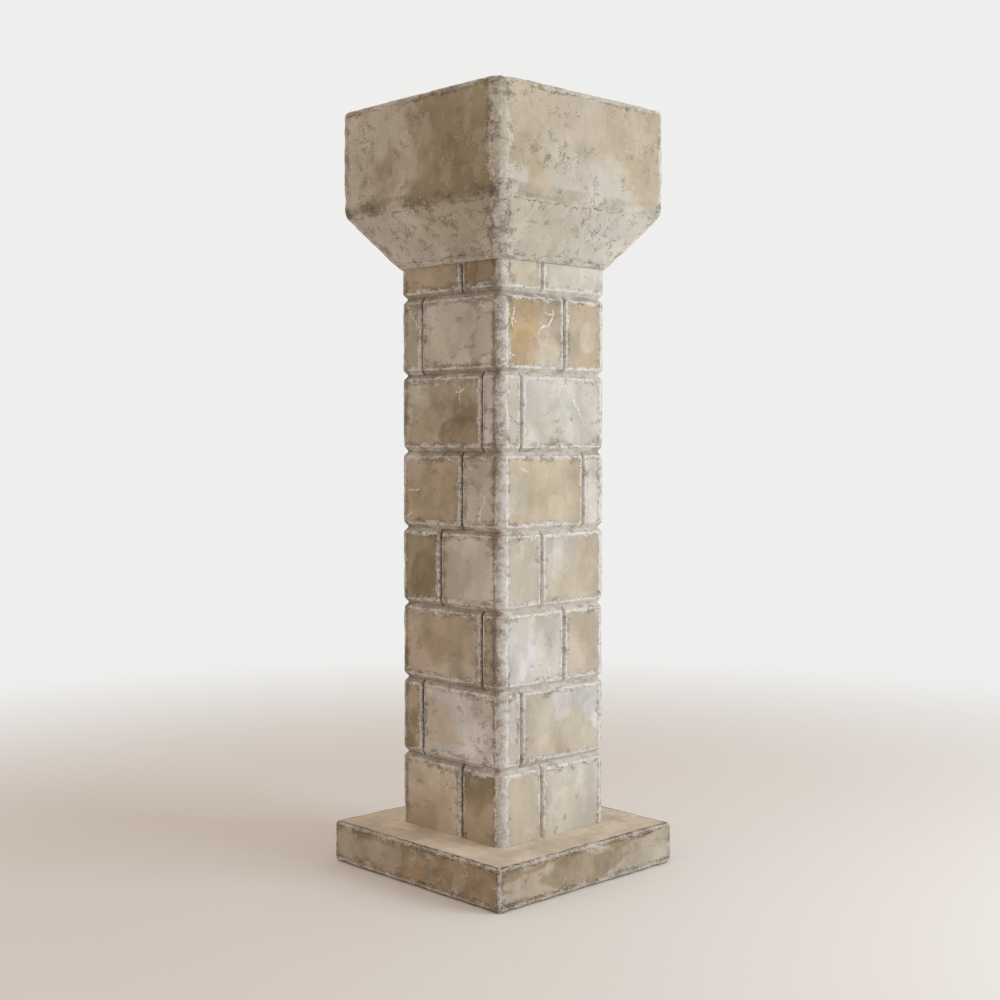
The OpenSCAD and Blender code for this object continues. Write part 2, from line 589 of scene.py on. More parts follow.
@dataclass(frozen=True)
class Limestone:
    """Dry worn limestone: clouded colour, whitened rims with white lips that are partly a painted
    highlight, dirt and painted shade in the joints, pits and cracks.
    """

    slot: str
    ground: Tone
    rim_tone: Tone = Tone.LILAC
    rim_width: float = 0.009
    rim_strength: float = 0.85
    lip_highlight_strength: float = 0.80
    outline_strength: float = 0.45
    line_strength: float = 0.0
    line_shake: float = 0.006
    joint_tone: Tone = Tone.PEARL
    cloud_depth: float = 0.16
    pit_scale: float = 150.0
    pit_shade: float = 0.6
    dirt_reach: float = 0.040
    dirt_level: float = 0.0
    fleck_level: float = 0.012
    roughness: float = 0.88
    gloss: float = 0.3
    relief: float = 0.004

    def material(self) -> bpy.types.Material:
        """Builds the node material.

        Returns:
            The finished material, named after its slot.
        """
        made = bpy.data.materials.new(self.slot)
        made.use_nodes = True
        graph = StoneGraph(made.node_tree)
        ragged, lip_highlight, outline = self._ragged_rim(graph)
        wash, ink, specks = self._dirt(graph)
        crack, pits = self._cracks(graph), self._pits(graph)
        colour = graph.mix(ragged, self._clouds(graph), self._rim_colour(graph))
        colour = self._joints(graph, colour)
        layers = [
            (outline, Tone.DARK),
            (crack, Tone.WHITE),
            (graph.times(pits, self.pit_shade), Tone.DARK),
            (wash, Tone.GRIME),
            (ink, Tone.DARK),
            (specks, Tone.SOOT),
            (self._lines(graph), Tone.SOOT),
            # White lips: worn pale edges, partly a painted highlight.
            (lip_highlight, Tone.WHITE),
            (self._flecks(graph), Tone.CHALK),
        ]
        for cover, tone in layers:
            colour = graph.mix(cover, colour, tone.rgba())
        shader = graph.node("ShaderNodeBsdfPrincipled", {
            "Base Color": colour,
            "Roughness": graph.ease(graph.grit(14), 0.3, 0.7, self.roughness - 0.08,
                                    self.roughness + 0.07),
            "Specular IOR Level": self.gloss,
            "Normal": self._bump(graph, [(ragged, 0.2), (crack, 0.3), (pits, -0.6), (specks, -0.3)]),
        })
        graph.finish("ShaderNodeOutputMaterial", shader.outputs[0])
        return made

    def _clouds(self, graph: StoneGraph) -> bpy.types.NodeSocket:
        """Clouds and brushed patches over the block's own colour.

        Args:
            graph: Node tree of the material.

        Returns:
            The clouded colour.
        """
        depth = self.cloud_depth
        upright = graph.stretch(graph.grain, (1.0, 1.0, 0.7))
        broad = graph.noise(upright, 6, 5, 0.5)
        shade = graph.ease(broad, 0.36, 0.64, 1 - depth, 1 + 0.5 * depth)
        boxy = graph.ease(graph.patches(upright, 11), 0.1, 0.9, 1 - 0.35 * depth, 1 + 0.25 * depth)
        small = graph.ease(graph.patches(upright, 27), 0.1, 0.9, 1 - 0.18 * depth, 1 + 0.18 * depth)
        fine = graph.ease(graph.grit(150, 5, 0.7), 0.25, 0.75, 0.95, 1.05)
        for layer in (boxy, small, fine):
            shade = graph.times(shade, layer)
        colour = graph.mix(1.0, graph.attribute("tint", "Color"), shade, "MULTIPLY")
        warmth = graph.noise(graph.stretch(graph.grain, (1.0, 1.0, 0.6)), 7.5, 6, 0.6, 0.2)
        colour = graph.mix(graph.ease(warmth, 0.54, 0.60, 0.0, 0.24), colour, Tone.TAN.rgba())
        return graph.mix(graph.ease(warmth, 0.46, 0.40, 0.0, 0.28), colour, Tone.GREIGE.rgba())

    def _joints(self, graph: StoneGraph, colour: object) -> bpy.types.NodeSocket:
        """Dull dust in the V of the joints, greyer on the shaded sides, and a dark core of painted
        shade deep in the upright joints and along the bottom of the beds.

        Args:
            graph: Node tree of the material.
            colour: Colour of the face so far.

        Returns:
            The colour with the joints laid over it.
        """
        cleft = graph.attribute("cleft")
        streaks = graph.noise(graph.stretch(graph.grain, (1.0, 1.0, 2.0)), 14, 6, 0.7)
        drift = graph.add(streaks, graph.grime_shade)
        warm = graph.ease(graph.grit(26, 6, 0.7), 0.45, 0.6, 0.0, 0.6)
        dust = graph.mix(warm, self.joint_tone.rgba(), Tone.TAN.rgba())
        dust = graph.mix(graph.ease(drift, 0.76, 1.08, 0.0, 0.55), dust, Tone.GRIME.rgba())
        colour = graph.mix(graph.ease(cleft, 0.22, 0.42), colour, dust)
        # Painted shade: a dark core deep in the upright joints, strongest on the shaded sides, and a
        # fainter one along the bottom of the beds.
        upright = graph.times(graph.ease(graph.attribute("seam"), 0.30, 0.75, 0.0, 0.95),
                              graph.ease(drift, 0.45, 0.70, 0.5, 1.0))
        bed = graph.times(graph.ease(cleft, 0.88, 1.0), graph.ease(drift, 0.85, 1.2, 0.0, 0.35))
        return graph.mix(graph.math("MAXIMUM", upright, bed), colour, Tone.SOOT.rgba())

    def _ragged_rim(self, graph: StoneGraph) -> tuple[bpy.types.NodeSocket, ...]:
        """Where the worn pale rim shows, its white lips, worn edges partly painted as a highlight
        that fades on the shaded sides, and the thin dark outline inside it.

        Args:
            graph: Node tree of the material.

        Returns:
            How far each of the rim, the lips and the outline covers the stone.
        """
        width = self.rim_width
        edge = graph.add(graph.rim, graph.shake(20, 4, 0.6, 0.009))
        edge = graph.add(edge, graph.shake(130, 6, 0.8, 0.007))
        ragged = graph.ease(edge, width - 0.001, width + 0.001, self.rim_strength, 0.0)
        mouth = graph.stripe(graph.add(graph.rim, graph.shake(90, 6, 0.75, 0.004)), -0.002, 0.003)
        inner = graph.stripe(edge, width - 0.0055, width - 0.0015)
        broken = graph.ease(graph.grit(40, 5, 0.7), 0.42, 0.50, 0.10, 1.0)
        lip_highlights = graph.times(graph.math("MAXIMUM", mouth, inner), broken)
        # Painted highlight: the lips fade where the stone holds grime, so they stay bright on the lit
        # sides.
        lip_highlights = graph.times(lip_highlights, graph.ease(graph.grime_shade, 0.6, 0.95, self.lip_highlight_strength,
                                            0.15 * self.lip_highlight_strength))
        # The dark outline fills in more on the shaded sides, partly as painted shade.
        soiled_and_shaded = graph.with_grime_shade(graph.grit(33, 6, 0.75), 0.27)
        patchy = graph.ease(soiled_and_shaded, 0.57, 0.65, 0.0, self.outline_strength)
        return ragged, lip_highlights, graph.times(graph.stripe(edge, width, width + 0.005), patchy)

    def _lines(self, graph: StoneGraph) -> bpy.types.NodeSocket:
        """Thin broken dark lines where the mesh asks for them.

        Args:
            graph: Node tree of the material.

        Returns:
            How far the lines cover the stone.
        """
        reach = self.line_shake
        sway = graph.add(graph.attribute("line"), graph.shake(12, 3, 0.6, reach))
        far = graph.math("ABSOLUTE", graph.add(sway, graph.shake(60, 6, 0.8, reach)))
        broken = graph.ease(graph.grit(30, 6, 0.8), 0.42, 0.60, 0.0, self.line_strength)
        return graph.times(graph.ease(far, 0.0010, 0.0036, 1.0, 0.0), broken)

    def _rim_colour(self, graph: StoneGraph) -> bpy.types.NodeSocket:
        """The worn rim is pale, with greyer and warmer clumps, more of them on the shaded sides,
        where they are partly painted shade.

        Args:
            graph: Node tree of the material.

        Returns:
            The colour of the rim.
        """
        clump = graph.with_grime_shade(graph.grit(32, 7, 0.75), 0.08)
        fleck = graph.with_grime_shade(graph.grit(90, 6, 0.85), 0.08)
        colour = graph.mix(graph.ease(clump, 0.51, 0.53, 0.0, 0.75), self.rim_tone.rgba(),
                           Tone.TAUPE.rgba())
        colour = graph.mix(graph.ease(clump, 0.57, 0.59, 0.0, 0.60), colour, Tone.ASH.rgba())
        return graph.mix(graph.ease(fleck, 0.60, 0.64, 0.0, 0.65), colour, Tone.GRIME.rgba())

    @staticmethod
    def _cracks(graph: StoneGraph) -> bpy.types.NodeSocket:
        """Pale branching cracks, drawn where the mesh says how far the nearest one is."""
        far = graph.add(graph.attribute("crack"), graph.shake(130, 4, 0.7, 0.0022))
        return graph.ease(far, 0.0016, 0.0038, 0.85, 0.0)

    def _pits(self, graph: StoneGraph) -> bpy.types.NodeSocket:
        """Small dark holes, gathered in drifts.

        Args:
            graph: Node tree of the material.

        Returns:
            How far the holes cover the stone.
        """
        inputs = {"Vector": graph.warp(graph.grain, 70, 0.007, 2), "Scale": self.pit_scale}
        hole = graph.node("ShaderNodeTexVoronoi", inputs, feature="F1")
        drift = graph.ease(graph.grit(19, 5, 0.75), 0.44, 0.62, 0.0, 0.60)
        size = graph.times(drift, graph.attribute("pitting"))
        return graph.ease(graph.math("SUBTRACT", size, hole.outputs["Distance"]), 0.0, 0.12)

    def _dirt(self, graph: StoneGraph) -> tuple[bpy.types.NodeSocket, ...]:
        """Washes of grime in clumps with inky edges, and dark specks, thickest near the rims and
        heavier on the shaded sides, where they are partly painted shade.

        Args:
            graph: Node tree of the material.

        Returns:
            How far each of the washes, their inky edges and the specks covers the stone.
        """
        base = 0.635 - self.dirt_level
        near = graph.times(graph.ease(graph.rim, 0.004, self.dirt_reach, 1.0, 0.0),
                           graph.ease(graph.rim, -0.010, 0.0, 0.3, 1.0))
        need = graph.times(near, 0.075)
        clump = graph.noise(graph.stretch(graph.grain, (1.0, 1.0, 1.6)), 16, 7, 0.72, 0.2)
        level = graph.add(graph.with_grime_shade(clump, 0.13), need)
        wash = graph.ease(level, base, base + 0.02, 0.0, 0.45)
        ink = graph.times(graph.stripe(level, base - 0.003, base + 0.010),
                          graph.ease(near, 0.0, 0.6, 0.12, 0.5))
        mixed = graph.add(graph.times(clump, 0.35), graph.times(graph.grit(170, 6, 0.8), 0.65))
        mixed = graph.add(graph.with_grime_shade(mixed, 0.08), need)
        return wash, ink, graph.ease(mixed, base, base + 0.04, 0.0, 0.65)

    def _flecks(self, graph: StoneGraph) -> bpy.types.NodeSocket:
        """Pale flecks where the skin of the stone has come away.

        Args:
            graph: Node tree of the material.

        Returns:
            How far the flecks cover the stone.
        """
        base = 0.625 - self.fleck_level
        fleck = graph.noise(graph.stretch(graph.grain, (1.0, 1.0, 2.2)), 120, 5, 0.8)
        near = graph.ease(graph.rim, 0.002, self.dirt_reach, 0.05, 0.0)
        level = graph.add(graph.times(fleck, 0.6), graph.times(graph.grit(18, 4, 0.65), 0.4))
        return graph.ease(graph.add(level, near), base, base + 0.02, 0.0, 0.6)

    def _bump(self, graph: StoneGraph, layers: list[tuple[object, float]]) -> bpy.types.NodeSocket:
        """Fine relief below the scale of the mesh: a grain, and how far each layer stands out.

        Args:
            graph: Node tree of the material.
            layers: Each layer that stands out or lies deep, with its weight.

        Returns:
            The bumped normal.
        """
        height = graph.times(graph.grit(60, 6, 0.65), 0.5)
        for layer, weight in layers:
            height = graph.add(height, graph.times(layer, weight))
        inputs = {"Strength": 0.9, "Distance": self.relief, "Height": height}
        return graph.node("ShaderNodeBump", inputs).outputs[0]


FINISHES = (
    Limestone("limestone_pale", Tone.PEARL),
    Limestone("limestone_buff", Tone.SAND),
    Limestone("limestone_tan", Tone.TAN),
    Limestone("limestone_umber", Tone.OLIVE),
    Limestone("limestone_capital", Tone.BUFF, rim_tone=Tone.PEARL, rim_width=0.012,
              rim_strength=0.62, lip_highlight_strength=0.55, line_strength=0.85, line_shake=0.007,
              cloud_depth=0.09, pit_scale=180.0, dirt_reach=0.050, dirt_level=0.022,
              fleck_level=0.032),
    Limestone("limestone_plinth", Tone.CLAY, rim_tone=Tone.BUFF, rim_width=0.006,
              rim_strength=0.50, lip_highlight_strength=0.55, outline_strength=0.60, line_strength=0.90,
              line_shake=0.003, dirt_level=0.028, fleck_level=0.040),
)


class Quarry:
    """The finishes, one for each material slot of the part."""

    def __init__(self) -> None:
        """Makes every finish and reads which node wears which."""
        record = frame["record"]
        self.slot_of = {row["node"]: row["material_slot"] for row in record["subparts"]}
        self.finishes = {finish.slot: finish for finish in FINISHES}
        self.materials = {finish.slot: finish.material() for finish in FINISHES}

    def tone(self, node: str) -> Tone:
        """Ground colour of a node's stone."""
        return self.finishes[self.slot_of[node]].ground

    def dress(self, skin: Skin, node: str) -> bpy.types.Object:
        """Turns a skin into the piece that stands for a CAD node.

        Args:
            skin: Mesh of the piece.
            node: CAD node that it replaces.

        Returns:
            The finished piece, riding on the part.
        """
        slot = self.slot_of[node]
        piece = skin.to_object("worn_" + node, self.materials[slot])
        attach(piece, ROOT_BODY)
        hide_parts(node)
        LOG.info("%s: %d points", piece.name, len(skin.points))
        return piece


# --------------------------------------------------------------------------------- shaft stones

# The faces that show on the front and on the right, from left to right
SHOWN_FACES = (
    ("front_left", Face.FRONT),
    ("front_right", Face.FRONT),
    ("front_right", Face.RIGHT),
    ("back_right", Face.RIGHT),
)

# Ground tones of those faces, by course from the ground
FACE_TONES = {
    8: (Tone.TAN, Tone.UMBER, Tone.SAND, Tone.IVORY),
    7: (Tone.TAUPE, Tone.PEARL, Tone.TAN, Tone.TAN),
    6: (Tone.GREIGE, Tone.PEARL, Tone.GREIGE, Tone.PEARL),
    5: (Tone.TAN, Tone.GREIGE, Tone.BUFF, Tone.PEARL),
    4: (Tone.OLIVE, Tone.PEARL, Tone.TAUPE, Tone.SAND),
    3: (Tone.SAND, Tone.BUFF, Tone.PEARL, Tone.SAND),
    2: (Tone.TAN, Tone.CHALK, Tone.SAND, Tone.GREIGE),
    1: (Tone.CREAM, Tone.TAN, Tone.SAND, Tone.IVORY),
}

# Clouds of colour on the faces that show most, by course from the ground, stone and face
STAINS: dict[tuple[int, str, Face], list[Stain]] = {
    (8, "front_right", Face.FRONT): [Stain(Spot.RIGHT, Tone.DARK, 0.4, 0.5, 0.3)],
    (8, "front_right", Face.RIGHT): [Stain(Spot.RIGHT, Tone.TAN, 0.25, 0.7)],
    (7, "front_right", Face.FRONT): [
        Stain(Spot.RIGHT, Tone.TAUPE, 0.3, 0.6),
        Stain(Spot.LOW_LEFT, Tone.TAUPE, 0.3, 0.5),
    ],
    (7, "front_right", Face.RIGHT): [
        Stain(Spot.TOP_LEFT, Tone.OCHRE, 0.50, 0.8),
        Stain(Spot.LOW_RIGHT, Tone.GREIGE, 0.40, 0.65),
        Stain(Spot.LOW_LEFT, Tone.RUST, 0.30, 0.55),
    ],
    (7, "back_right", Face.RIGHT): [
        Stain(Spot.LEFT, Tone.TAN, 0.35, 0.6),
        Stain(Spot.MIDDLE, Tone.GREIGE, 0.2, 0.6),
    ],
    (6, "front_left", Face.FRONT): [
        Stain(Spot.FOOT, Tone.TAN, 0.35, 0.7),
        Stain(Spot.TOP_RIGHT, Tone.OLIVE, 0.35, 0.6),
        Stain(Spot.RIGHT, Tone.UMBER, 0.22, 0.6),
        Stain(Spot.LOW_RIGHT, Tone.UMBER, 0.24, 0.7),
    ],
    (6, "back_right", Face.RIGHT): [Stain(Spot.LOW_LEFT, Tone.GREIGE, 0.35, 0.5, 0.3)],
    (5, "front_left", Face.FRONT): [
        Stain(Spot.MIDDLE, Tone.OLIVE, 0.35, 0.6),
        Stain(Spot.TOP_LEFT, Tone.TAUPE, 0.3, 0.4),
    ],
    (5, "front_right", Face.RIGHT): [
        Stain(Spot.MIDDLE, Tone.TAN, 0.25, 0.5),
        Stain(Spot.LEFT, Tone.IVORY, 0.2, 0.5),
    ],
    (4, "front_left", Face.FRONT): [Stain(Spot.RIGHT, Tone.UMBER, 0.4, 0.8)],
    (4, "front_right", Face.FRONT): [Stain(Spot.LEFT, Tone.TAUPE, 0.35, 0.6)],
    (4, "back_right", Face.RIGHT): [
        Stain(Spot.TOP_LEFT, Tone.LILAC, 0.35, 0.6),
        Stain(Spot.RIGHT, Tone.BUFF, 0.4, 0.6),
    ],
    (3, "front_left", Face.FRONT): [
        Stain(Spot.TOP, Tone.TAN, 0.45, 0.6),
        Stain(Spot.MIDDLE, Tone.UMBER, 0.30, 0.42, 0.35),
        Stain(Spot.LOW_LEFT, Tone.ROSE, 0.3, 0.6),
    ],
    (3, "front_right", Face.FRONT): [Stain(Spot.MIDDLE, Tone.OLIVE, 0.35, 0.2)],
    (3, "front_right", Face.RIGHT): [
        Stain(Spot.LEFT, Tone.LILAC, 0.40, 0.9),
        Stain(Spot.TOP, Tone.GREIGE, 0.25, 0.6),
    ],
    (2, "front_left", Face.FRONT): [Stain(Spot.FOOT, Tone.UMBER, 0.4, 0.85)],
    (2, "front_right", Face.FRONT): [
        Stain(Spot.TOP_RIGHT, Tone.TAUPE, 0.30, 0.6),
        Stain(Spot.LEFT, Tone.CREAM, 0.35, 0.8),
    ],
    (2, "front_right", Face.RIGHT): [Stain(Spot.TOP, Tone.CHALK, 0.4, 0.6)],
    (2, "back_right", Face.RIGHT): [
        Stain(Spot.LEFT, Tone.SAND, 0.35, 0.8),
        Stain(Spot.TOP_RIGHT, Tone.LILAC, 0.35, 0.8),
        Stain(Spot.FOOT, Tone.BUFF, 0.25, 0.5),
    ],
    (1, "front_left", Face.FRONT): [
        Stain(Spot.LEFT, Tone.SAND, 0.35, 0.6),
        Stain(Spot.FOOT, Tone.ROSE, 0.45, 0.5, 0.3),
        Stain(Spot.LOW_LEFT, Tone.OLIVE, 0.30, 0.35, 0.35),
    ],
    (1, "front_right", Face.FRONT): [Stain(Spot.TOP, Tone.UMBER, 0.45, 0.7)],
    (1, "front_right", Face.RIGHT): [Stain(Spot.TOP_LEFT, Tone.BUFF, 0.3, 0.6)],
    (1, "back_right", Face.RIGHT): [Stain(Spot.TOP_RIGHT, Tone.PEARL, 0.4, 0.7)],
}


@dataclass(frozen=True)
class Crack:
    """A branching crack that starts at a spot and wanders off across the face."""

    spot: Spot
    heading: float
    length: float
    branches: int = 2
    seed: int = 1

    def lines(self) -> np.ndarray:
        """Short straight pieces of the crack.

        Returns:
            Array of shape (n, 4) with the ends of each piece, in metres from the start.
        """
        rng = np.random.default_rng(self.seed)
        pieces = self._walk(rng, np.zeros(2), math.radians(self.heading), self.length)
        trunk = list(pieces)
        for _ in range(self.branches):
            start = trunk[int(rng.integers(1, len(trunk)))][:2]
            turn = rng.choice([-1, 1]) * rng.uniform(0.5, 1.1)
            heading = math.radians(self.heading) + turn
            pieces += self._walk(rng, start, heading, self.length * rng.uniform(0.25, 0.5))
        return np.array(pieces)

    @staticmethod
    def _walk(rng: np.random.Generator, start: np.ndarray, heading: float,
              length: float) -> list[np.ndarray]:
        """A wandering line.

        Args:
            rng: Source of the random draws.
            start: Where the crack starts.
            heading: Direction that it sets off in, in radians.
            length: Its length in metres.

        Returns:
            The points of the crack, from its start.
        """
        step = 13 * MM
        place, pieces = np.array(start), []
        for _ in range(max(2, round(length / step))):
            heading += rng.normal(0, 0.42)
            after = place + step * np.array([math.cos(heading), math.sin(heading)])
            pieces.append(np.concatenate([place, after]))
            place = after
        return pieces

    def distance(self, across: np.ndarray, up: np.ndarray) -> np.ndarray:
        """Distance of points from the crack.

        Args:
            across: Places along the face, in metres from the crack's start.
            up: Heights in metres from the crack's start.

        Returns:
            The distance to the nearest piece of the crack.
        """
        nearest = np.full(len(across), 1.0)
        for x0, y0, x1, y1 in self.lines():
            dx, dy = x1 - x0, y1 - y0
            share = np.clip(((across - x0) * dx + (up - y0) * dy) / (dx * dx + dy * dy), 0, 1)
            nearest = np.minimum(nearest, np.hypot(across - x0 - share * dx, up - y0 - share * dy))
        return nearest


# Cracks by course from the ground, stone and face; headings in degrees from level
CRACKS: dict[tuple[int, str, Face], list[Crack]] = {
    (7, "front_right", Face.RIGHT): [
        Crack(Spot.TOP_RIGHT, -105, 0.12, 3, 3),
        Crack(Spot.TOP_LEFT, -60, 0.08, 1, 5),
        Crack(Spot.LOW_LEFT, 200, 0.05, 1, 8),
    ],
    (7, "front_left", Face.FRONT): [Crack(Spot.TOP, -95, 0.12, 1, 11)],
    (7, "front_right", Face.FRONT): [Crack(Spot.TOP_RIGHT, 145, 0.05, 1, 12)],
    (6, "front_left", Face.FRONT): [
        Crack(Spot.TOP, 130, 0.06, 2, 14),
        Crack(Spot.TOP_RIGHT, -140, 0.07, 2, 16),
    ],
    (6, "back_right", Face.RIGHT): [
        Crack(Spot.TOP, -62, 0.17, 1, 19),
        Crack(Spot.TOP_RIGHT, -120, 0.05, 1, 20),
    ],
    (5, "front_left", Face.FRONT): [
        Crack(Spot.LEFT, -25, 0.06, 1, 21),
        Crack(Spot.LOW_LEFT, -115, 0.05, 1, 22),
    ],
    (5, "front_right", Face.FRONT): [
        Crack(Spot.MIDDLE, -72, 0.13, 2, 23),
        Crack(Spot.TOP_LEFT, -60, 0.03, 0, 24),
    ],
    (5, "front_right", Face.RIGHT): [Crack(Spot.TOP_LEFT, -20, 0.04, 1, 25)],
    (3, "front_left", Face.FRONT): [Crack(Spot.TOP, 100, 0.04, 2, 27)],
}


@dataclass
class AshlarStone:
    """One stone of the shaft: two dressed faces round an arris, V-cut at its joints."""

    node: str
    course: int
    corner: str
    top_course: int
    joint_depth: float = 17 * MM
    bed_flat: float = 2.5 * MM
    bed_run: float = 16 * MM
    upright_flat: float = 2.2 * MM
    upright_run: float = 8 * MM
    fold_blend: float = 2 * MM
    lip_blend: float = 1.8 * MM
    arris_radius: float = 36 * MM
    arris_wear: float = 25 * MM
    arris_steps: int = 11
    mouth_steps: int = 7
    mouth_margin: float = 5 * MM
    pitch: float = 5.5 * MM
    hidden_pitch: float = 60 * MM
    wave_depth: float = 0.7 * MM
    chip_depth: float = 3.5 * MM
    chip_reach: float = 9 * MM
    knock_depth: float = 6 * MM
    knock_reach: float = 22 * MM
    hole_depth: float = 2.2 * MM
    bed_wear_share: float = 0.3
    pitting: float = 0.35

    def __post_init__(self) -> None:
        """Takes the stone's place from the CAD frame."""
        low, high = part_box(self.node)
        self.low, self.high = np.array(low), np.array(high)
        self.sign = (
            1 if abs(self.high[0]) > abs(self.low[0]) else -1,
            1 if abs(self.high[1]) > abs(self.low[1]) else -1,
        )
        self.half = max(abs(self.low[0]), abs(self.high[0]))
        self.joint = (
            self.low[0] if self.sign[0] > 0 else self.high[0],
            self.low[1] if self.sign[1] > 0 else self.high[1],
        )
        self.height = self.high[2] - self.low[2]
        self.bed_mouth = self.bed_flat + self.bed_run
        self.upright_mouth = self.upright_flat + self.upright_run

    def _steps(self, length: float, flat: float, run: float) -> np.ndarray:
        """Distances from a joint to the far end of a stretch, close together near the joint.

        Args:
            length: Length of the stretch.
            flat: Width of the V's flat floor.
            run: Width of the V's slope.

        Returns:
            The distances, from nought up.
        """
        slope = np.linspace(flat, flat + run + self.mouth_margin, self.mouth_steps + 1)
        near = np.concatenate([[0.0, flat], slope[1:]])
        count = max(2, round((length - near[-1]) / self.pitch))
        return np.concatenate([near, np.linspace(near[-1], length, count + 1)[1:]])

    def _levels(self) -> np.ndarray:
        """Heights of the rows of points above the lower bed."""
        up = self._steps(self.height / 2, self.bed_flat, self.bed_run)
        return np.concatenate([up, (self.height - up[::-1])[1:]])

    def _outline(self) -> dict[str, np.ndarray]:
        """Plan of the two dressed faces.

        Returns:
            For each column of points its place, outward direction, distance from its joint and
            distance from the middle of the arris, with the face that it belongs to.
        """
        sx, sy = self.sign
        turn = np.linspace(0, math.pi / 2, self.arris_steps + 1)[1:-1]
        reach = self.arris_radius * math.pi / 4
        rows: dict[str, list[float]] = {k: [] for k in ("x", "y", "nx", "ny", "t", "q", "u", "f")}

        def add(x: float, y: float, nx: float, ny: float, t: float, q: float, u: float,
                f: int) -> None:
            """Adds one column."""
            for key, value in zip(rows, (x, y, nx, ny, t, q, u, f)):
                rows[key].append(value)

        across = abs(sx * self.half - self.joint[0])
        for t in self._steps(across - self.arris_radius, self.upright_flat, self.upright_run):
            u = t / across if sx * sy < 0 else 1 - t / across
            add(self.joint[0] + sx * t, sy * self.half, 0, sy, t,
                across - self.arris_radius - t + reach, u, 0)
        centre = self.half - self.arris_radius
        for angle in turn:
            nx, ny = sx * math.sin(angle), sy * math.cos(angle)
            first = angle < math.pi / 4
            inner = 1.0 if (sx * sy < 0) == first else 0.0
            add(sx * centre + self.arris_radius * nx, sy * centre + self.arris_radius * ny, nx, ny,
                1.0, self.arris_radius * abs(angle - math.pi / 4), inner, 0 if first else 1)
        deep = abs(sy * self.half - self.joint[1])
        for t in self._steps(deep - self.arris_radius, self.upright_flat, self.upright_run)[::-1]:
            u = 1 - t / deep if sx * sy < 0 else t / deep
            add(sx * self.half, self.joint[1] + sy * t, sx, 0, t,
                deep - self.arris_radius - t + reach, u, 1)
        return {key: np.array(value) for key, value in rows.items()}

    def _hidden_columns(self) -> np.ndarray:
        """Plan points along the two joint faces, from the second dressed face back to the first.

        Returns:
            Array of shape (n, 2).
        """
        sx, sy = self.sign
        start, stop = self.half - 2 * self.joint_depth, sx * self.joint[0]
        count = max(1, round((start - stop) / self.hidden_pitch))
        first = [(sx * x, self.joint[1]) for x in np.linspace(start, stop, count + 1)]
        start, stop = sy * self.joint[1], self.half - 2 * self.joint_depth
        count = max(1, round((stop - start) / self.hidden_pitch))
        second = [(self.joint[0], sy * y) for y in np.linspace(start, stop, count + 1)[1:]]
        return np.array(first + second)

    def _recess(self, level: np.ndarray, t: np.ndarray) -> tuple[np.ndarray, np.ndarray]:
        """Depth of the joints' V behind the face.

        Args:
            level: Height above the lower bed at each point.
            t: Distance from the upright joint at each point.

        Returns:
            The depth, and the distance from the nearest mouth of a V, which is negative inside.
        """
        none = np.full_like(level, -1.0)
        below = self.bed_mouth - level if self.course > 1 else none
        above = none if self.course == self.top_course else self.bed_mouth - (self.height - level)
        bed = np.maximum(below, above)
        upright = self.upright_mouth - t
        cut = soft_max(bed * (self.joint_depth / self.bed_run),
                       upright * self.joint_depth / self.upright_run, self.fold_blend)
        depth = soft_max(cut, np.zeros_like(cut), self.lip_blend)
        return np.minimum(depth, self.joint_depth), -np.maximum(bed, upright)

    def skin(self, quarry: Quarry) -> Skin:
        """Builds the worn stone.

        Args:
            quarry: Finishes, for the stone's ground colour.

        Returns:
            The closed mesh with its surface values.
        """
        plan = self._outline()
        hidden = self._hidden_columns()
        levels = self._levels()
        rows, outer, columns = len(levels), len(plan["x"]), len(plan["x"]) + len(hidden)
        level = np.repeat(levels, outer)
        column = {key: np.tile(value, rows) for key, value in plan.items()}
        depth, clear = self._recess(level, column["t"])
        points = np.stack([column["x"], column["y"], level + self.low[2]], axis=1)
        place = (self.course, self.sign[0] + 2, self.sign[1] + 2)
        offset = tuple(step * count for step, count in zip(PATTERN_STEPS, place))
        seeded = points + np.array(offset)
        wear = self._wear(seeded, clear, column["q"])
        wear[(level == 0) | (level == self.height)] *= self.bed_wear_share
        outward = np.stack([column["nx"], column["ny"], np.zeros(len(level))], axis=1)
        grid = np.zeros((rows, columns, 3))
        grid[:, :outer] = (points - outward * (depth + wear)[:, None]).reshape(rows, outer, 3)
        grid[:, outer:, :2] = hidden
        grid[:, outer:, 2] = (levels + self.low[2])[:, None]
        rim, seam = self._edges(column, clear)
        ground = quarry.tone(self.node)
        shown = {
            "rim": (rim, 1.0),
            "cleft": (depth / self.joint_depth, 1.0),
            "seam": (seam, 1.0),
            "line": (np.ones(len(level)), 1.0),
            "grime_shade": (self._grime_shade(column, level, seeded), HIDDEN_GRIME_SHADE),
            "pitting": (np.full(len(level), self.pitting), 0.0),
            "crack": (self._crack(column, level), 1.0),
        }
        return Skin(
            points=grid.reshape(-1, 3),
            faces=self._closed(rows, columns),
            tint=self._spread(self._tint(ground, column, level, seeded), rows, columns,
                              ground.linear()),
            values={key: self._spread(value, rows, columns, rest)
                    for key, (value, rest) in shown.items()},
            offset=offset,
        )

    def _closed(self, rows: int, columns: int) -> list[list[int]]:
        """Faces of the closed tube of points, with its two beds.

        Args:
            rows: Number of rings.
            columns: Points in each ring.

        Returns:
            Point numbers of each face, all facing out.
        """
        anticlockwise = self.sign[0] * self.sign[1] < 0
        turn = -1 if anticlockwise else 1
        faces = ring_quads(rows, columns, anticlockwise).tolist()
        faces.append(list(range(columns))[::turn])
        faces.append(list(range((rows - 1) * columns, rows * columns))[::-turn])
        return faces

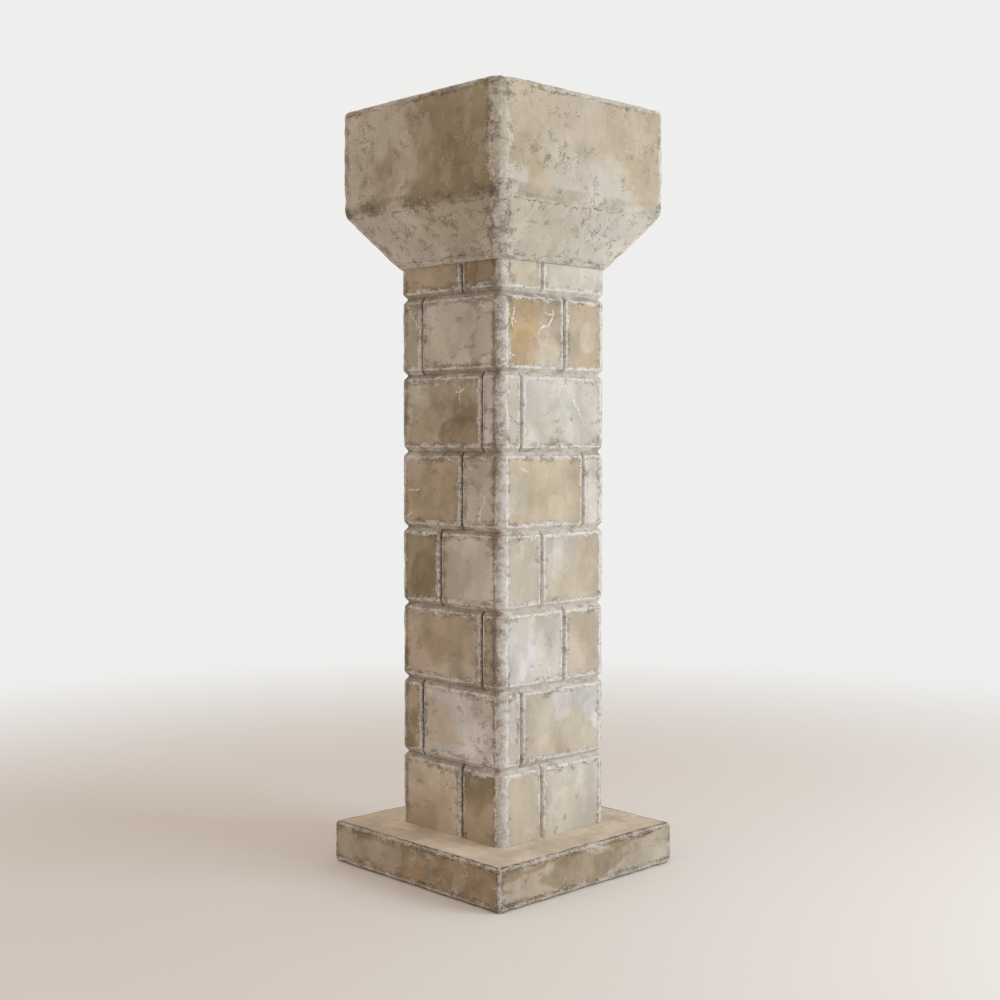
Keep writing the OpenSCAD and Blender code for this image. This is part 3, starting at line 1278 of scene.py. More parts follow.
    def _edges(self, column: dict[str, np.ndarray],
               clear: np.ndarray) -> tuple[np.ndarray, np.ndarray]:
        """Finds the worn edges.

        Args:
            column: What `_outline` says, for each point.
            clear: Distance from the nearest mouth of a V.

        Returns:
            The distance from the nearest worn edge, and how deep in an upright joint, halved on the
            lit sides to weaken the painted shade there.
        """
        arris = column["q"] - self.arris_wear
        seam = np.clip((self.upright_mouth - column["t"]) / self.upright_run, 0, 1)
        # On the shaded sides the arris's pale rim is narrower, and on the lit sides the painted shade
        # in the upright joints is halved.
        for here, side, _ in self._faces(column):
            if side in SHADED_SIDES:
                arris[here] += 0.15 * self.arris_wear
            else:
                seam[here] *= 0.5
        return np.minimum(clear, np.maximum(arris, INSIDE_RIM)), seam

    @staticmethod
    def _spread(values: np.ndarray, rows: int, columns: int, rest: object) -> np.ndarray:
        """Fits values of the dressed faces into the whole grid.

        Args:
            values: One value or one colour for each point of the dressed faces.
            rows: Number of rows in the grid.
            columns: Number of columns in the whole grid.
            rest: Plain value for the hidden columns behind.

        Returns:
            One value or one colour for each point of the grid.
        """
        width = values.shape[1:]
        shown = values.reshape((rows, -1) + width)
        whole = np.zeros((rows, columns) + width)
        whole[:, : shown.shape[1]] = shown
        whole[:, shown.shape[1]:] = rest
        return whole.reshape((-1,) + width)

    def _wear(self, seeded: np.ndarray, clear: np.ndarray, q: np.ndarray) -> np.ndarray:
        """Stone lost from the dressed faces: waves, chipped edges and a battered arris.

        Args:
            seeded: Points in the stone's own pattern, of shape (n, 3).
            clear: Distance from the nearest mouth of a V.
            q: Distance from the middle of the arris.

        Returns:
            Depth of stone lost at each point.
        """
        waves = self.wave_depth * (1 + WAVES.fractal(seeded, 7, 3))
        chip = np.clip(CHIPS.fractal(seeded, 28, 3) - 0.08, 0, 1)
        edge = self.chip_depth * chip * bell(clear, self.chip_reach)
        knock = np.clip(CHIPS.fractal(seeded + 4.4, 17, 3) - 0.1, 0, 1)
        arris = self.knock_depth * knock * bell(q, self.knock_reach)
        holes = self.hole_depth * PITS.depth(seeded) * (CHIPS.at(seeded + 8.8, 6) > 0.15)
        return waves + edge + arris + holes

    def _faces(self, column: dict[str, np.ndarray]) -> list[tuple[np.ndarray, Face, float]]:
        """The two dressed faces: which points are on each, its side and its width.

        Args:
            column: What `_outline` says, for each point.

        Returns:
            One row for each face.
        """
        sx, sy = self.sign
        sides = (Face((0, sy)), Face((sx, 0)))
        widths = (abs(sx * self.half - self.joint[0]), abs(sy * self.half - self.joint[1]))
        return [(column["f"] == i, sides[i], widths[i]) for i in (0, 1)]

    def _tint(self, ground: Tone, column: dict[str, np.ndarray], level: np.ndarray,
              seeded: np.ndarray) -> np.ndarray:
        """Ground colour of the stone with the clouds on each of its two faces.

        Args:
            ground: Ground tone of the stone.
            column: What `_outline` says, for each point.
            level: Height above the lower bed at each point.
            seeded: Points in the stone's own pattern, of shape (n, 3).

        Returns:
            Colour of each point.
        """
        tint = np.zeros((len(level), 3))
        tones = dict(zip(SHOWN_FACES, FACE_TONES.get(self.course, ())))
        for here, side, _ in self._faces(column):
            tone = tones.get((self.corner, side), ground)
            base = np.tile(tone.linear(), (int(here.sum()), 1))
            stains = STAINS.get((self.course, self.corner, side), [])
            tint[here] = paint_stains(base, column["u"][here], level[here] / self.height,
                                      seeded[here], stains)
        return tint

    def _grime_shade(self, column: dict[str, np.ndarray], level: np.ndarray,
              seeded: np.ndarray) -> np.ndarray:
        """Grime and painted shade: more on the shaded sides and beside the arris on them, and more
        near the top and bottom beds.

        Args:
            column: What `_outline` says, for each point.
            level: Height above the lower bed at each point.
            seeded: Points in the stone's own pattern, of shape (n, 3).

        Returns:
            Amount of grime and painted shade at each point.
        """
        grime_shade = 0.5 * CLOUDS.fractal(seeded + 5.1, 6, 3)
        faces = self._faces(column)
        in_shade = [float(side in SHADED_SIDES) for _, side, _ in faces]
        # Painted shade: more on the shaded sides, and a dark band beside the arris on them.
        for (here, _, _), own, other in zip(faces, in_shade, in_shade[::-1]):
            q = column["q"][here]
            away = 0.5 * smooth_step(0, 30 * MM, q)
            share = own * (0.5 + away) + other * (0.5 - away)
            arris = bell(q - 27 * MM, 17 * MM)
            grime_shade[here] += 0.08 + 0.30 * share + (0.05 + 0.35 * own) * arris
        bed = np.minimum(level, self.height - level)
        return np.clip(grime_shade + 0.20 * bell(bed, 45 * MM), -0.2, 1.2)

    def _crack(self, column: dict[str, np.ndarray], level: np.ndarray) -> np.ndarray:
        """Distance of each point from the nearest crack on its face.

        Args:
            column: What `_outline` says, for each point.
            level: Height above the lower bed at each point.

        Returns:
            Distance in metres, at most 1.
        """
        nearest = np.full(len(level), 1.0)
        for here, side, width in self._faces(column):
            for crack in CRACKS.get((self.course, self.corner, side), []):
                u, v = crack.spot.value
                across = (column["u"][here] - u) * width
                up = level[here] - v * self.height
                nearest[here] = np.minimum(nearest[here], crack.distance(across, up))
        return nearest


# --------------------------------------------------------------------------- plinth and capital


@dataclass(frozen=True)
class Row:
    """One ring of a rounded block: where its corners are centred, how round they are, how high."""

    centre: float
    radius: float
    height: float
    tilt: float
    along: float


class Section:
    """Outline of a block from the middle of its foot up to its top, joined from arcs and lines."""

    def __init__(self, pitch: float) -> None:
        """Starts an empty outline.

        Args:
            pitch: Distance between rows on a line, in metres.
        """
        self.pitch = pitch
        self.rows: list[Row] = []
        self.edges: list[float] = []

    def arc(self, centre: float, plan_radius: float, radius: float, height: float, start: float,
            stop: float, steps: int) -> None:
        """Adds a round edge, and a straight line up to it.

        Args:
            centre: Distance of the corner's centre from the axis, along X and Y.
            plan_radius: Distance in plan from that centre to the middle of the round edge.
            radius: Radius of the round edge.
            height: Height of the middle of the round edge.
            start: Angle of its first normal above level, in radians.
            stop: Angle of its last normal.
            steps: Number of steps in the arc.
        """
        angles = np.linspace(start, stop, steps + 1)
        first = self._row(centre, plan_radius, radius, height, angles[0], 0.0)
        if self.rows:
            last = self.rows[-1]
            gap = math.hypot(first.centre + first.radius - last.centre - last.radius,
                             first.height - last.height)
            count = max(1, round(gap / self.pitch))
            for share in np.linspace(0, 1, count + 1)[1:-1]:
                self.rows.append(Row(
                    last.centre + share * (first.centre - last.centre),
                    last.radius + share * (first.radius - last.radius),
                    last.height + share * (first.height - last.height),
                    last.tilt, last.along + share * gap))
            begin = last.along + gap
        else:
            begin = 0.0
        self.edges.append(begin + radius * (stop - start) / 2)
        for angle in angles:
            self.rows.append(self._row(centre, plan_radius, radius, height, angle,
                                       begin + radius * (angle - start)))

    @staticmethod
    def _row(centre: float, plan_radius: float, radius: float, height: float, angle: float,
             along: float) -> Row:
        """One row of a round edge."""
        return Row(centre, plan_radius + radius * math.cos(angle),
                   height + radius * math.sin(angle), angle, along)


@dataclass
class RoundedBlock:
    """A square block with rounded arrises, built as rings from its foot to its top."""

    node: str
    arris_radius: float
    pitch: float
    arris_steps: int
    arris_wear: float
    stains: dict[Face, list[Stain]]
    offset: tuple[float, float, float] = (0.0, 0.0, 0.0)
    top_tone: Tone = Tone.SAND
    fine_share: float = 1.25
    ragged_share: float = 0.42

    def __post_init__(self) -> None:
        """Takes the block's place from the CAD frame."""
        low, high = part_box(self.node)
        self.low, self.high = np.array(low), np.array(high)
        self.half = float(self.high[0])
        self.height = float(self.high[2] - self.low[2])

    def section(self) -> Section:
        """The block's outline."""
        raise NotImplementedError

    def wear(self, points: np.ndarray, along: np.ndarray, edge: np.ndarray,
             q: np.ndarray) -> np.ndarray:
        """Depth of stone lost at each point."""
        raise NotImplementedError

    def grime_shade(self, points: np.ndarray, face: np.ndarray, along: np.ndarray,
             edge: np.ndarray) -> np.ndarray:
        """How much grime each point holds, with painted shade on the capital's shaded sides."""
        raise NotImplementedError

    def pitting(self, points: np.ndarray, along: np.ndarray) -> np.ndarray:
        """How many small holes each point holds."""
        raise NotImplementedError

    def line(self, face: np.ndarray, along: np.ndarray, q: np.ndarray) -> np.ndarray:
        """Signed distance of each point from the nearest thin dark line."""
        raise NotImplementedError

    def worn_edge(self, along: np.ndarray) -> np.ndarray:
        """Distance of each point from the nearest pale worn edge."""
        raise NotImplementedError

    def bands(self, points: np.ndarray, face: np.ndarray, along: np.ndarray,
              q: np.ndarray) -> list[tuple[np.ndarray, Tone]]:
        """Bands of colour that go round the block: how far each covers a point, and its tone."""
        return []

    def _run(self) -> np.ndarray:
        """Places of the columns along one side of the unit square, closer at the corners.

        Returns:
            The places, from -1 to 1.
        """
        corner = self.fine_share * self.arris_radius / self.half
        middle = round(2 * (1 - corner) * self.half / self.pitch)
        ends = np.linspace(-1, -1 + corner, self.arris_steps + 1)
        return np.concatenate([ends, np.linspace(ends[-1], -ends[-1], middle + 1)[1:],
                               -ends[::-1][1:]])

    @staticmethod
    def _side(a: np.ndarray, b: np.ndarray) -> np.ndarray:
        """Number of the face that a point of the unit square's outline belongs to."""
        upright = np.abs(b) >= np.abs(a)
        return np.where(upright, np.where(b < 0, 0, 2), np.where(a > 0, 1, 3))

    def skin(self, quarry: Quarry) -> Skin:
        """Builds the worn block.

        Args:
            quarry: Finishes, for the stone's ground colour.

        Returns:
            The closed mesh with its surface values.
        """
        section = self.section()
        run = self._run()
        side, one = run[:-1], np.ones(len(run) - 1)
        ring_a = np.concatenate([side, one, -side, -one])
        ring_b = np.concatenate([-one, side, one, -side])
        count, rows = len(ring_a), len(section.rows)
        cells = [(ring_a, ring_b, np.ones(count), row) for row in section.rows]
        inner_a, inner_b = np.meshgrid(run[1:-1], run[1:-1], indexing="ij")
        inner_a, inner_b = inner_a.ravel(), inner_b.ravel()
        size = np.maximum(np.maximum(np.abs(inner_a), np.abs(inner_b)), 1e-9)
        cells.append((inner_a / size, inner_b / size, size, section.rows[-1]))
        parts = [self._place(*cell) for cell in cells]
        points, normals, q, along, u, face = map(np.concatenate, zip(*parts))
        edge = np.min([np.abs(along - e) for e in section.edges], axis=0)
        seeded = points + np.array(self.offset)
        lost = self.wear(points, along, edge, q)
        lost[:count] = 0
        points = points - normals * lost[:, None]
        v = np.clip((points[:, 2] - self.low[2]) / self.height, 0, 1)
        faces = ring_quads(rows, count, True).tolist()
        faces.append(list(range(count))[::-1])
        faces += self._lid(rows, count, len(run))
        tint = np.tile(quarry.tone(self.node).linear(), (len(points), 1))
        tint[rows * count:] = self.top_tone.linear()
        for number, name in enumerate(Face):
            here = (face == number) & (along < section.edges[-1])
            tint[here] = paint_stains(tint[here], u[here], v[here], seeded[here],
                                      self.stains.get(name, []))
        for cover, tone in self.bands(seeded, face, along, q):
            tint = tint * (1 - cover[:, None]) + tone.linear() * cover[:, None]
        ragged = self.ragged_share * self.arris_radius * CLOUDS.fractal(seeded + 4.4, 11, 5)
        round_edge = q - self.arris_wear + ragged
        values = {
            "rim": np.minimum(self.worn_edge(along), np.maximum(round_edge, INSIDE_RIM)),
            "cleft": np.zeros(len(points)),
            "seam": np.zeros(len(points)),
            "line": self.line(face, along, q),
            "grime_shade": np.clip(self.grime_shade(seeded, face, along, edge), -1.5, 1.5),
            "pitting": np.clip(self.pitting(seeded, along), 0, 1),
            "crack": np.ones(len(points)),
        }
        return Skin(points, faces, tint, values, self.offset)

    def _place(self, a: np.ndarray, b: np.ndarray, size: np.ndarray, row: Row) -> tuple:
        """Places points of the unit square's outline on one ring, or on a smaller copy of it.

        Args:
            a: Places across the unit square.
            b: Places up the unit square.
            size: Size of the copy at each point, 1 for the ring itself.
            row: The ring.

        Returns:
            Points, outward directions, distances from the arris, ways up the outline, shares of the
            width and numbers of the face.
        """
        width = row.centre + row.radius
        x, y = a * width, b * width
        cx = np.clip(x, -row.centre, row.centre)
        cy = np.clip(y, -row.centre, row.centre)
        gap = np.hypot(x - cx, y - cy)
        safe = np.maximum(gap, 1e-9)
        nx, ny = (x - cx) / safe, (y - cy) / safe
        points = np.stack([(cx + row.radius * nx) * size, (cy + row.radius * ny) * size,
                           np.full(len(a), self.low[2] + row.height)], axis=1)
        level = math.cos(row.tilt)
        normals = np.stack([nx * level, ny * level, np.full(len(a), math.sin(row.tilt))], axis=1)
        turn = np.arctan2(np.minimum(np.abs(x - cx), np.abs(y - cy)), np.maximum(row.radius, 1e-9))
        q = row.centre - np.minimum(np.abs(cx), np.abs(cy)) + row.radius * (math.pi / 4 - turn)
        q = q + (1 - size) * self.half
        along = row.along + (1 - size) * self.half
        face = self._side(a, b)
        crossing = np.choose(face, [a, b, -a, -b])
        return points, normals, q, along, (crossing * size + 1) / 2, face

    @staticmethod
    def _lid(rows: int, count: int, run: int) -> list[list[int]]:
        """Quads of the top, between the last ring and the grid inside it.

        Args:
            rows: Number of rings.
            count: Points in each ring.
            run: Points along one side, with both corners.

        Returns:
            Point numbers of each quad.
        """
        last = (rows - 1) * count
        side = run - 1
        grid = np.zeros((run, run), dtype=int)
        steps = np.arange(side)
        grid[steps, 0] = last + steps
        grid[side, steps] = last + side + steps
        grid[side - steps, side] = last + 2 * side + steps
        grid[0, side - steps] = last + 3 * side + steps
        grid[1:-1, 1:-1] = rows * count + np.arange((run - 2) ** 2).reshape(run - 2, run - 2)
        corners = [grid[:-1, :-1], grid[1:, :-1], grid[1:, 1:], grid[:-1, 1:]]
        return np.stack(corners, axis=-1).reshape(-1, 4).tolist()


@dataclass
class Plinth(RoundedBlock):
    """The slab under the shaft, with every edge worn round and dirty."""

    shaft_half: float = 0.290
    wave_depth: float = 0.8 * MM
    chip_depth: float = 6 * MM
    chip_reach: float = 13 * MM
    hole_depth: float = 2.5 * MM

    def section(self) -> Section:
        """The slab's outline: round foot, upright face, round top edge.

        Returns:
            The outline.
        """
        r = self.arris_radius
        made = Section(self.pitch)
        made.arc(self.half - r, 0, r, r, -math.pi / 2, 0, 6)
        made.arc(self.half - r, 0, r, self.height - r, 0, math.pi / 2, 6)
        self.foot_edge, self.top_edge = made.edges
        return made

    def wear(self, points: np.ndarray, along: np.ndarray, edge: np.ndarray,
             q: np.ndarray) -> np.ndarray:
        """Waves, battered edges and small holes.

        Args:
            points: Points of the slab, of shape (n, 3).
            along: Way up the block's outline at each point, from the middle of its foot; not used
                here.
            edge: Distance of each point from the nearest round edge.
            q: Distance of each point from the nearest upright arris.

        Returns:
            Depth of stone lost at each point.
        """
        seeded = points + np.array(self.offset)
        near = np.minimum(edge, q)
        chip = np.clip(CHIPS.fractal(seeded, 24, 3) + 0.05, 0, 1)
        lost = self.wave_depth * (1 + WAVES.fractal(seeded, 6, 3))
        lost = lost + self.chip_depth * chip * bell(near, self.chip_reach)
        lost = lost + self.hole_depth * PITS.depth(seeded) * (CHIPS.at(seeded + 3, 5) > 0.1)
        reach = np.maximum(np.abs(points[:, 0]), np.abs(points[:, 1]))
        top = points[:, 2] > self.high[2] - MM
        return np.where(top, lost * smooth_step(self.shaft_half, self.shaft_half + 0.03, reach), lost)

    def grime_shade(self, points: np.ndarray, face: np.ndarray, along: np.ndarray,
             edge: np.ndarray) -> np.ndarray:
        """Grime along every edge, and a few clouds of it.

        Args:
            points: Points in the pattern of the block, of shape (n, 3).
            face: Number of the face that each point is on, from the front round by the right; not
                used here.
            along: Way up the block's outline at each point, from the middle of its foot.
            edge: Distance of each point from the nearest round edge.

        Returns:
            Amount of grime at each point.
        """
        cloud = CLOUDS.fractal(points + 2.2, 7, 4)
        inside = np.where(along > self.top_edge + 0.02, -1.4, 0.2 + 0.5 * cloud)
        return inside + 0.15 * bell(edge, 20 * MM)

    def line(self, face: np.ndarray, along: np.ndarray, q: np.ndarray) -> np.ndarray:
        """Lines on both sides of every worn edge.

        Args:
            face: Number of the face that each point is on, from the front round by the right; not
                used here.
            along: Way up the block's outline at each point, from the middle of its foot.
            q: Distance of each point from the nearest upright arris.

        Returns:
            Signed distance of each point from the nearest line.
        """
        bend = self.arris_radius * math.pi / 4
        return nearest_of([along - self.top_edge - bend, along - self.top_edge + bend,
                           q - bend, along - self.foot_edge - 1.5 * self.arris_radius])

    def worn_edge(self, along: np.ndarray) -> np.ndarray:
        """The top edge and a line over the foot are worn pale."""
        over_foot = self.foot_edge + 0.6 * self.arris_radius
        return np.minimum(np.abs(along - over_foot), np.abs(along - self.top_edge))

    def pitting(self, points: np.ndarray, along: np.ndarray) -> np.ndarray:
        """Some holes all over."""
        return 0.45 + 0.4 * CLOUDS.fractal(points + 7.7, 7, 2)


@dataclass
class Capital(RoundedBlock):
    """The block that crowns the shaft: a splay, a soft break and an upright face."""

    foot_half: float = 0.320
    foot_radius: float = 0.028
    splay_height: float = 0.218
    top_radius: float = 0.022
    wave_depth: float = 1 * MM
    chip_depth: float = 5 * MM
    chip_reach: float = 22 * MM
    knock_depth: float = 6 * MM
    batter_depth: float = 4 * MM
    batter_reach: float = 40 * MM
    hole_depth: float = 3.5 * MM

    def section(self) -> Section:
        """The capital's outline: round foot, splay, soft break, upright face, round top edge.

        Returns:
            The outline.
        """
        arris, foot = self.arris_radius, self.foot_radius
        nominal = math.atan((self.half - self.foot_half) / self.splay_height)
        break_height = self.splay_height + arris * math.tan(nominal / 2)
        run = (self.half - arris) - (self.foot_half - foot)
        rise = break_height - foot
        slope = math.acos((foot - arris) / math.hypot(run, rise)) - math.atan2(rise, run)
        made = Section(self.pitch)
        made.arc(self.foot_half - arris, arris - foot, foot, foot, -math.pi / 2, -slope, 8)
        made.arc(self.half - arris, 0, arris, break_height, -slope, 0, 8)
        made.arc(self.half - arris, arris - self.top_radius, self.top_radius,
                 self.height - self.top_radius, 0, math.pi / 2, 7)
        self.foot_edge, self.break_edge, self.top_edge = made.edges
        return made

    def wear(self, points: np.ndarray, along: np.ndarray, edge: np.ndarray,
             q: np.ndarray) -> np.ndarray:
        """Waves, a rough break and arris, and the holes of an open stone.

        Args:
            points: Points of the block, of shape (n, 3).
            along: Way up the block's outline at each point, from the middle of its foot.
            edge: Distance of each point from the nearest round edge; not used here.
            q: Distance of each point from the nearest upright arris.

        Returns:
            Depth of stone lost at each point.
        """
        seeded = points + np.array(self.offset)
        lost = self.wave_depth * (1 + WAVES.fractal(seeded, 6, 3))
        chip = np.clip(CHIPS.fractal(seeded, 22, 3), 0, 1)
        near = np.minimum(np.abs(along - self.top_edge), np.abs(along - self.break_edge))
        lost = lost + self.chip_depth * chip * bell(near, self.chip_reach)
        batter = np.clip(CHIPS.fractal(seeded + 5.5, 34, 4) + 0.15, 0, 1)
        arris = self.knock_depth * chip + self.batter_depth * batter
        lost = lost + arris * bell(q, self.batter_reach)
        splay = smooth_step(self.break_edge + 0.05, self.break_edge - 0.02, along)
        open_stone = smooth_step(-0.1, 0.4, CHIPS.at(seeded + 3, 6) + 0.5 * splay)
        return lost + self.hole_depth * PITS.depth(seeded) * open_stone

    def grime_shade(self, points: np.ndarray, face: np.ndarray, along: np.ndarray,
             edge: np.ndarray) -> np.ndarray:
        """Grime under the break and beside the front arris, most of it on the front and left faces,
        the shaded sides, where it is partly painted shade.

        Args:
            points: Points in the pattern of the block, of shape (n, 3).
            face: Number of the face that each point is on, from the front round by the right.
            along: Way up the block's outline at each point, from the middle of its foot.
            edge: Distance of each point from the nearest round edge; not used here.

        Returns:
            Amount of grime and painted shade at each point.
        """
        cloud = CLOUDS.fractal(points + 2.2, 7, 4)
        band = np.exp(-(((along - self.break_edge - 0.004) / 0.026) ** 4))
        shade = np.choose(face, [1.0, 0.45, 0.8, 1.0])
        sway = CLOUDS.fractal(points + 9.2, 12, 4)
        # Painted shade: a dark band beside the front arris, strongest on the front face.
        beside = bell(self._round_distance(points) - 0.048 + 0.020 * sway, 12 * MM)
        beside = beside * np.clip(0.6 + 1.2 * sway, 0, 1) * self._near_arris(points)
        return shade * (0.45 + 0.85 * band + 0.65 * beside) - 0.25 + 0.40 * cloud

    def _round_distance(self, points: np.ndarray) -> np.ndarray:
        """Distance of each point from the nearest arris, in plan."""
        plan = np.abs(points[:, :2] - np.array(self.offset[:2]))
        return plan.max(axis=1) - plan.min(axis=1)

    def _near_arris(self, points: np.ndarray) -> np.ndarray:
        """One round the arris between the front and the right face, nought round the others."""
        plan = points[:, :2] - np.array(self.offset[:2])
        return ((plan[:, 0] > 0) & (plan[:, 1] < 0)).astype(float)

    def line(self, face: np.ndarray, along: np.ndarray, q: np.ndarray) -> np.ndarray:
        """Lines under the top edge, under the break, over the foot and beside the arris; the line
        beside the arris is drawn only on the shaded front and left faces, as painted shade.

        Args:
            face: Number of the face that each point is on, from the front round by the right.
            along: Way up the block's outline at each point, from the middle of its foot.
            q: Distance of each point from the nearest upright arris.

        Returns:
            Signed distance of each point from the nearest line.
        """
        # Painted shade: the line beside the arris, on the front and left faces only.
        beside = np.where(np.isin(face, (0, 3)), q - self.arris_radius * math.pi / 4, 1.0)
        return nearest_of([along - self.top_edge + 0.020, along - self.break_edge + 0.026,
                           along - self.foot_edge - 0.024, beside])

    def worn_edge(self, along: np.ndarray) -> np.ndarray:
        """The foot and the top edge are worn pale; the break is not."""
        return np.minimum(np.abs(along - self.foot_edge), np.abs(along - self.top_edge))

    def bands(self, points: np.ndarray, face: np.ndarray, along: np.ndarray,
              q: np.ndarray) -> list[tuple[np.ndarray, Tone]]:
        """The paler splay, the dull band on the break, partly painted shade, the pale battered
        arrises, and on all but the front arris a chalky band that is partly worn pale and partly a
        painted highlight along the silhouettes.

        Args:
            points: Points in the pattern of the block, of shape (n, 3).
            face: Number of the face that each point is on, from the front round by the right.
            along: Way up the block's outline at each point, from the middle of its foot.
            q: Distance of each point from the nearest upright arris.

        Returns:
            How far each band covers each point, and its tone.
        """
        wobble = 0.010 * CLOUDS.fractal(points + 6.1, 16, 5)
        splay = 0.45 * smooth_step(self.break_edge + 0.01, self.break_edge - 0.03, along + wobble)
        height = (along - self.break_edge - 0.006 + wobble) / 0.026
        streaks = CLOUDS.fractal((points + 1.3) * np.array([0.6, 0.6, 2.0]), 22, 5)
        # Partly painted shade: the dull band is strongest on the shaded front and left faces.
        dull = np.choose(face, [0.60, 0.35, 0.45, 0.60]) * np.clip(0.8 + 1.1 * streaks, 0, 1)
        dull = dull * (1 - smooth_step(0.75, 1.15, np.abs(height)))
        mottle = np.clip(0.55 + 1.6 * CLOUDS.fractal(points + 2.9, 20, 5), 0, 1)
        arris = 0.40 * mottle * (1 - smooth_step(0.034, 0.046, q + 3 * wobble))
        # Painted highlight: a chalky band on every arris but the front one, so the edges at the
        # silhouettes look lit.
        pale = 0.65 * (1 - self._near_arris(points)) * (1 - smooth_step(0.026, 0.036, q + wobble))
        return [(splay, Tone.PEARL), (dull, Tone.GRIME), (arris, Tone.CREAM),
                (pale, Tone.CHALK)]

    def pitting(self, points: np.ndarray, along: np.ndarray) -> np.ndarray:
        """Holes most of all on the splay."""
        splay = 1 - smooth_step(self.break_edge - 0.03, self.break_edge + 0.04, along)
        return 0.60 + 0.35 * splay + 0.7 * CLOUDS.fractal(points + 7.7, 7, 2)


# -------------------------------------------------------------------------------------- studio


@dataclass
class Studio:
    """Pale floor and backdrop, one broad soft lamp, a weak warm sky, and the camera."""

    azimuth: float = 45.95
    distance: float = 5.899
    eye_height: float = 1.6977
    aim_left: float = 0.111
    aim_down: float = 2.355
    lens: float = 53.36
    film_width: float = 36.0
    floor_radius: float = 40.0
    floor_sides: int = 64
    fade_start: float = 1.6
    fade_end: float = 6.0
    backdrop: tuple[float, float, float] = (0.86, 0.86, 0.85)
    floor_colour: tuple[float, float, float] = (0.84, 0.82, 0.79)
    sky: tuple[float, float, float] = (0.68, 0.595, 0.53)
    lamp_power: float = 172.0
    lamp_size: float = 3.0
    lamp_colour: tuple[float, float, float] = (0.77, 0.895, 1.0)
    lamp_place: tuple[float, float, float] = (4.85, 2.2, 2.6)
    lamp_aim: tuple[float, float, float] = (0.0, 0.0, 1.4)

    def build(self) -> None:
        """Makes everything round the column."""
        self._camera()
        self._world()
        self._lamp()
        self._floor()

    def _camera(self) -> None:
        """Stands the camera before the arris between the front and the right face."""
        data = bpy.data.cameras.new("camera")
        data.lens = self.lens
        data.sensor_width = self.film_width
        camera = bpy.data.objects.new("camera", data)
        turn = math.radians(self.azimuth)
        camera.location = (self.distance * math.sin(turn), -self.distance * math.cos(turn),
                           self.eye_height)
        camera.rotation_euler = (math.pi / 2 - math.radians(self.aim_down), 0,
                                 turn + math.radians(self.aim_left))
        bpy.context.scene.collection.objects.link(camera)
        bpy.context.scene.camera = camera

    def _world(self) -> None:
        """A weak warm sky that looks like the pale backdrop."""
        world = bpy.data.worlds.new("sky")
        world.use_nodes = True
        graph = Graph(world.node_tree)
        light = graph.node("ShaderNodeBackground", {"Color": (*self.sky, 1)})
        back = graph.node("ShaderNodeBackground", {"Color": (*self.backdrop, 1)})
        shares = {0: graph.seen_directly(), 1: light.outputs[0], 2: back.outputs[0]}
        both = graph.node("ShaderNodeMixShader", shares)
        graph.finish("ShaderNodeOutputWorld", both.outputs[0])
        bpy.context.scene.world = world
        bpy.context.scene.view_settings.view_transform = "Standard"

    def _lamp(self) -> None:
        """The broad lamp that faces the right side."""
        data = bpy.data.lights.new("key", "AREA")
        data.shape = "SQUARE"
        data.size = self.lamp_size
        data.energy = self.lamp_power
        data.color = self.lamp_colour
        lamp = bpy.data.objects.new("key", data)
        lamp.location = self.lamp_place
        aim = Vector(self.lamp_aim) - Vector(self.lamp_place)
        lamp.rotation_euler = aim.to_track_quat("-Z", "Y").to_euler()
        bpy.context.scene.collection.objects.link(lamp)

    def _floor(self) -> None:
        """A floor that fades into the backdrop far from the column."""
        mesh = bpy.data.meshes.new("floor")
        ring = np.linspace(0, 2 * math.pi, self.floor_sides + 1)[:-1]
        points = [(self.floor_radius * math.cos(a), self.floor_radius * math.sin(a), 0) for a in ring]
        mesh.from_pydata(points, [], [list(range(len(points)))])
        material = bpy.data.materials.new("floor")
        material.use_nodes = True
        graph = Graph(material.node_tree)
        place = graph.node("ShaderNodeTexCoord").outputs["Object"]
        length = graph.node("ShaderNodeVectorMath", {0: place}, operation="LENGTH")
        far = graph.ease(length.outputs["Value"], self.fade_start, self.fade_end)
        matte = graph.node("ShaderNodeBsdfDiffuse", {"Color": (*self.floor_colour, 1)})
        glow = graph.node("ShaderNodeEmission", {"Color": (*self.backdrop, 1)})
        share = graph.times(far, graph.seen_directly())
        both = graph.node("ShaderNodeMixShader",
                          {0: share, 1: matte.outputs[0], 2: glow.outputs[0]})
        graph.finish("ShaderNodeOutputMaterial", both.outputs[0])
        mesh.materials.append(material)
        floor = bpy.data.objects.new("floor", mesh)
        bpy.context.scene.collection.objects.link(floor)


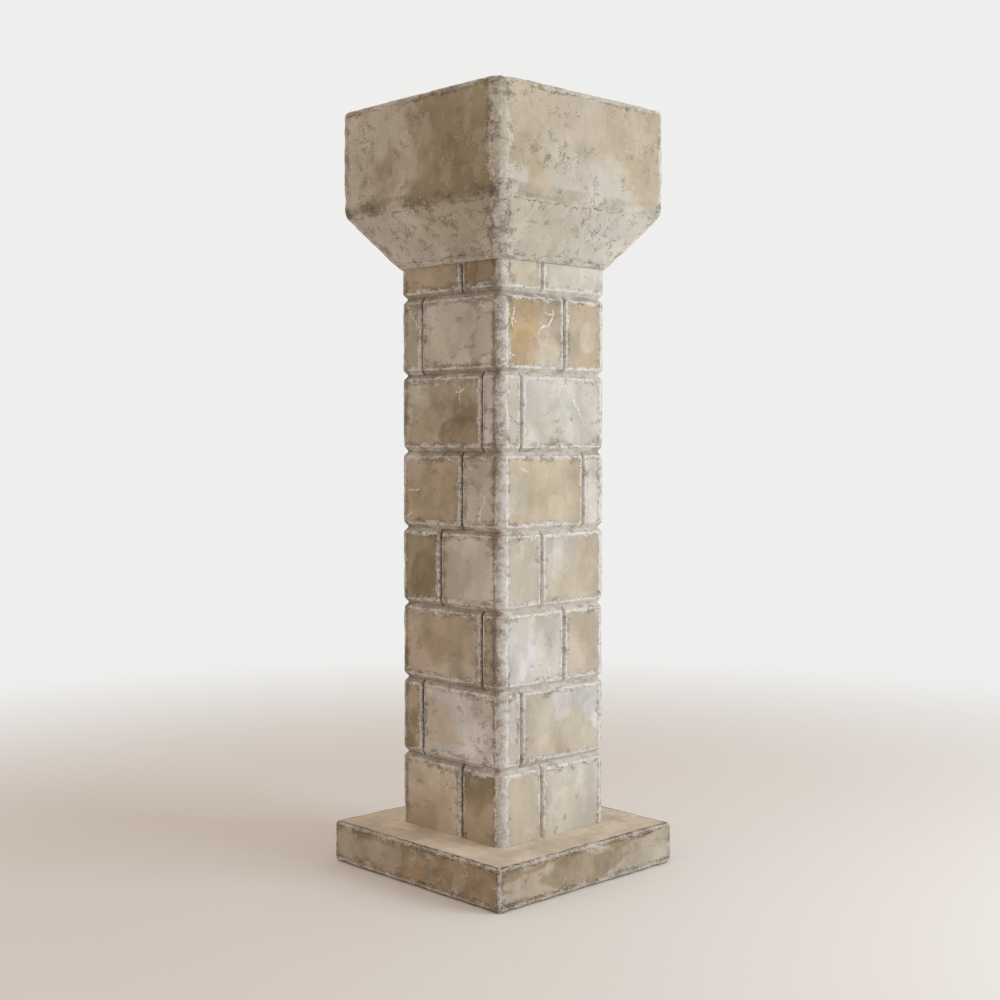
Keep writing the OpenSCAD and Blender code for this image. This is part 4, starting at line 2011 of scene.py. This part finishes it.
CAPITAL_STAINS = {
    Face.FRONT: [
        Stain(Spot.LEFT, Tone.IVORY, 0.60, 0.9, 0.3),
        Stain(Spot.RIGHT, Tone.OLIVE, 0.50, 0.9, 0.3),
        Stain(Spot.TOP_RIGHT, Tone.OLIVE, 0.30, 0.7, 0.3),
        Stain(Spot.RIGHT, Tone.UMBER, 0.28, 0.6, 0.4),
    ],
    Face.RIGHT: [
        Stain(Spot.TOP, Tone.SAND, 0.35, 0.9, 0.3),
        Stain(Spot.LEFT, Tone.TAN, 0.24, 0.8, 0.3),
        Stain(Spot.TOP_RIGHT, Tone.TAN, 0.26, 0.7, 0.3),
        Stain(Spot.MIDDLE, Tone.IVORY, 0.16, 0.9, 0.3),
        Stain(Spot.LOW_RIGHT, Tone.PEARL, 0.30, 0.7, 0.3),
        Stain(Spot.BY_ARRIS, Tone.CHALK, 0.09, 0.5, 0.3),
    ],
}

PLINTH_STAINS = {
    Face.FRONT: [
        Stain(Spot.LEFT, Tone.TAUPE, 0.30, 0.55),
        Stain(Spot.MIDDLE, Tone.UMBER, 0.22, 0.4),
        Stain(Spot.RIGHT, Tone.UMBER, 0.22, 0.4),
    ],
    Face.RIGHT: [
        Stain(Spot.LEFT, Tone.TAUPE, 0.25, 0.65),
        Stain(Spot.RIGHT, Tone.TAUPE, 0.40, 0.80),
        Stain(Spot.MIDDLE, Tone.UMBER, 0.28, 0.65),
    ],
}


def main() -> None:
    """Builds the column and the studio."""
    logging.basicConfig(level=logging.INFO, format="%(message)s")
    Studio().build()
    quarry = Quarry()
    shaft = [node for node in frame["nodes"] if node.startswith("course_")]
    top_course = max(int(node.split("_")[1]) for node in shaft)
    for node in sorted(shaft):
        _, number, corner = node.split("_", 2)
        stone = AshlarStone(node, int(number), corner, top_course)
        quarry.dress(stone.skin(quarry), node)
    plinth = Plinth("plinth", arris_radius=16 * MM, pitch=6 * MM, arris_steps=6,
                    arris_wear=4 * MM, stains=PLINTH_STAINS, offset=(5.0, 9.0, 2.0),
                    top_tone=Tone.CREAM)
    quarry.dress(plinth.skin(quarry), plinth.node)
    capital = Capital("capital", arris_radius=65 * MM, pitch=6.5 * MM, arris_steps=16,
                      arris_wear=28 * MM, stains=CAPITAL_STAINS, offset=(8.0, 3.0, 6.0))
    quarry.dress(capital.skin(quarry), capital.node)


if __name__ == "__main__":
    main()
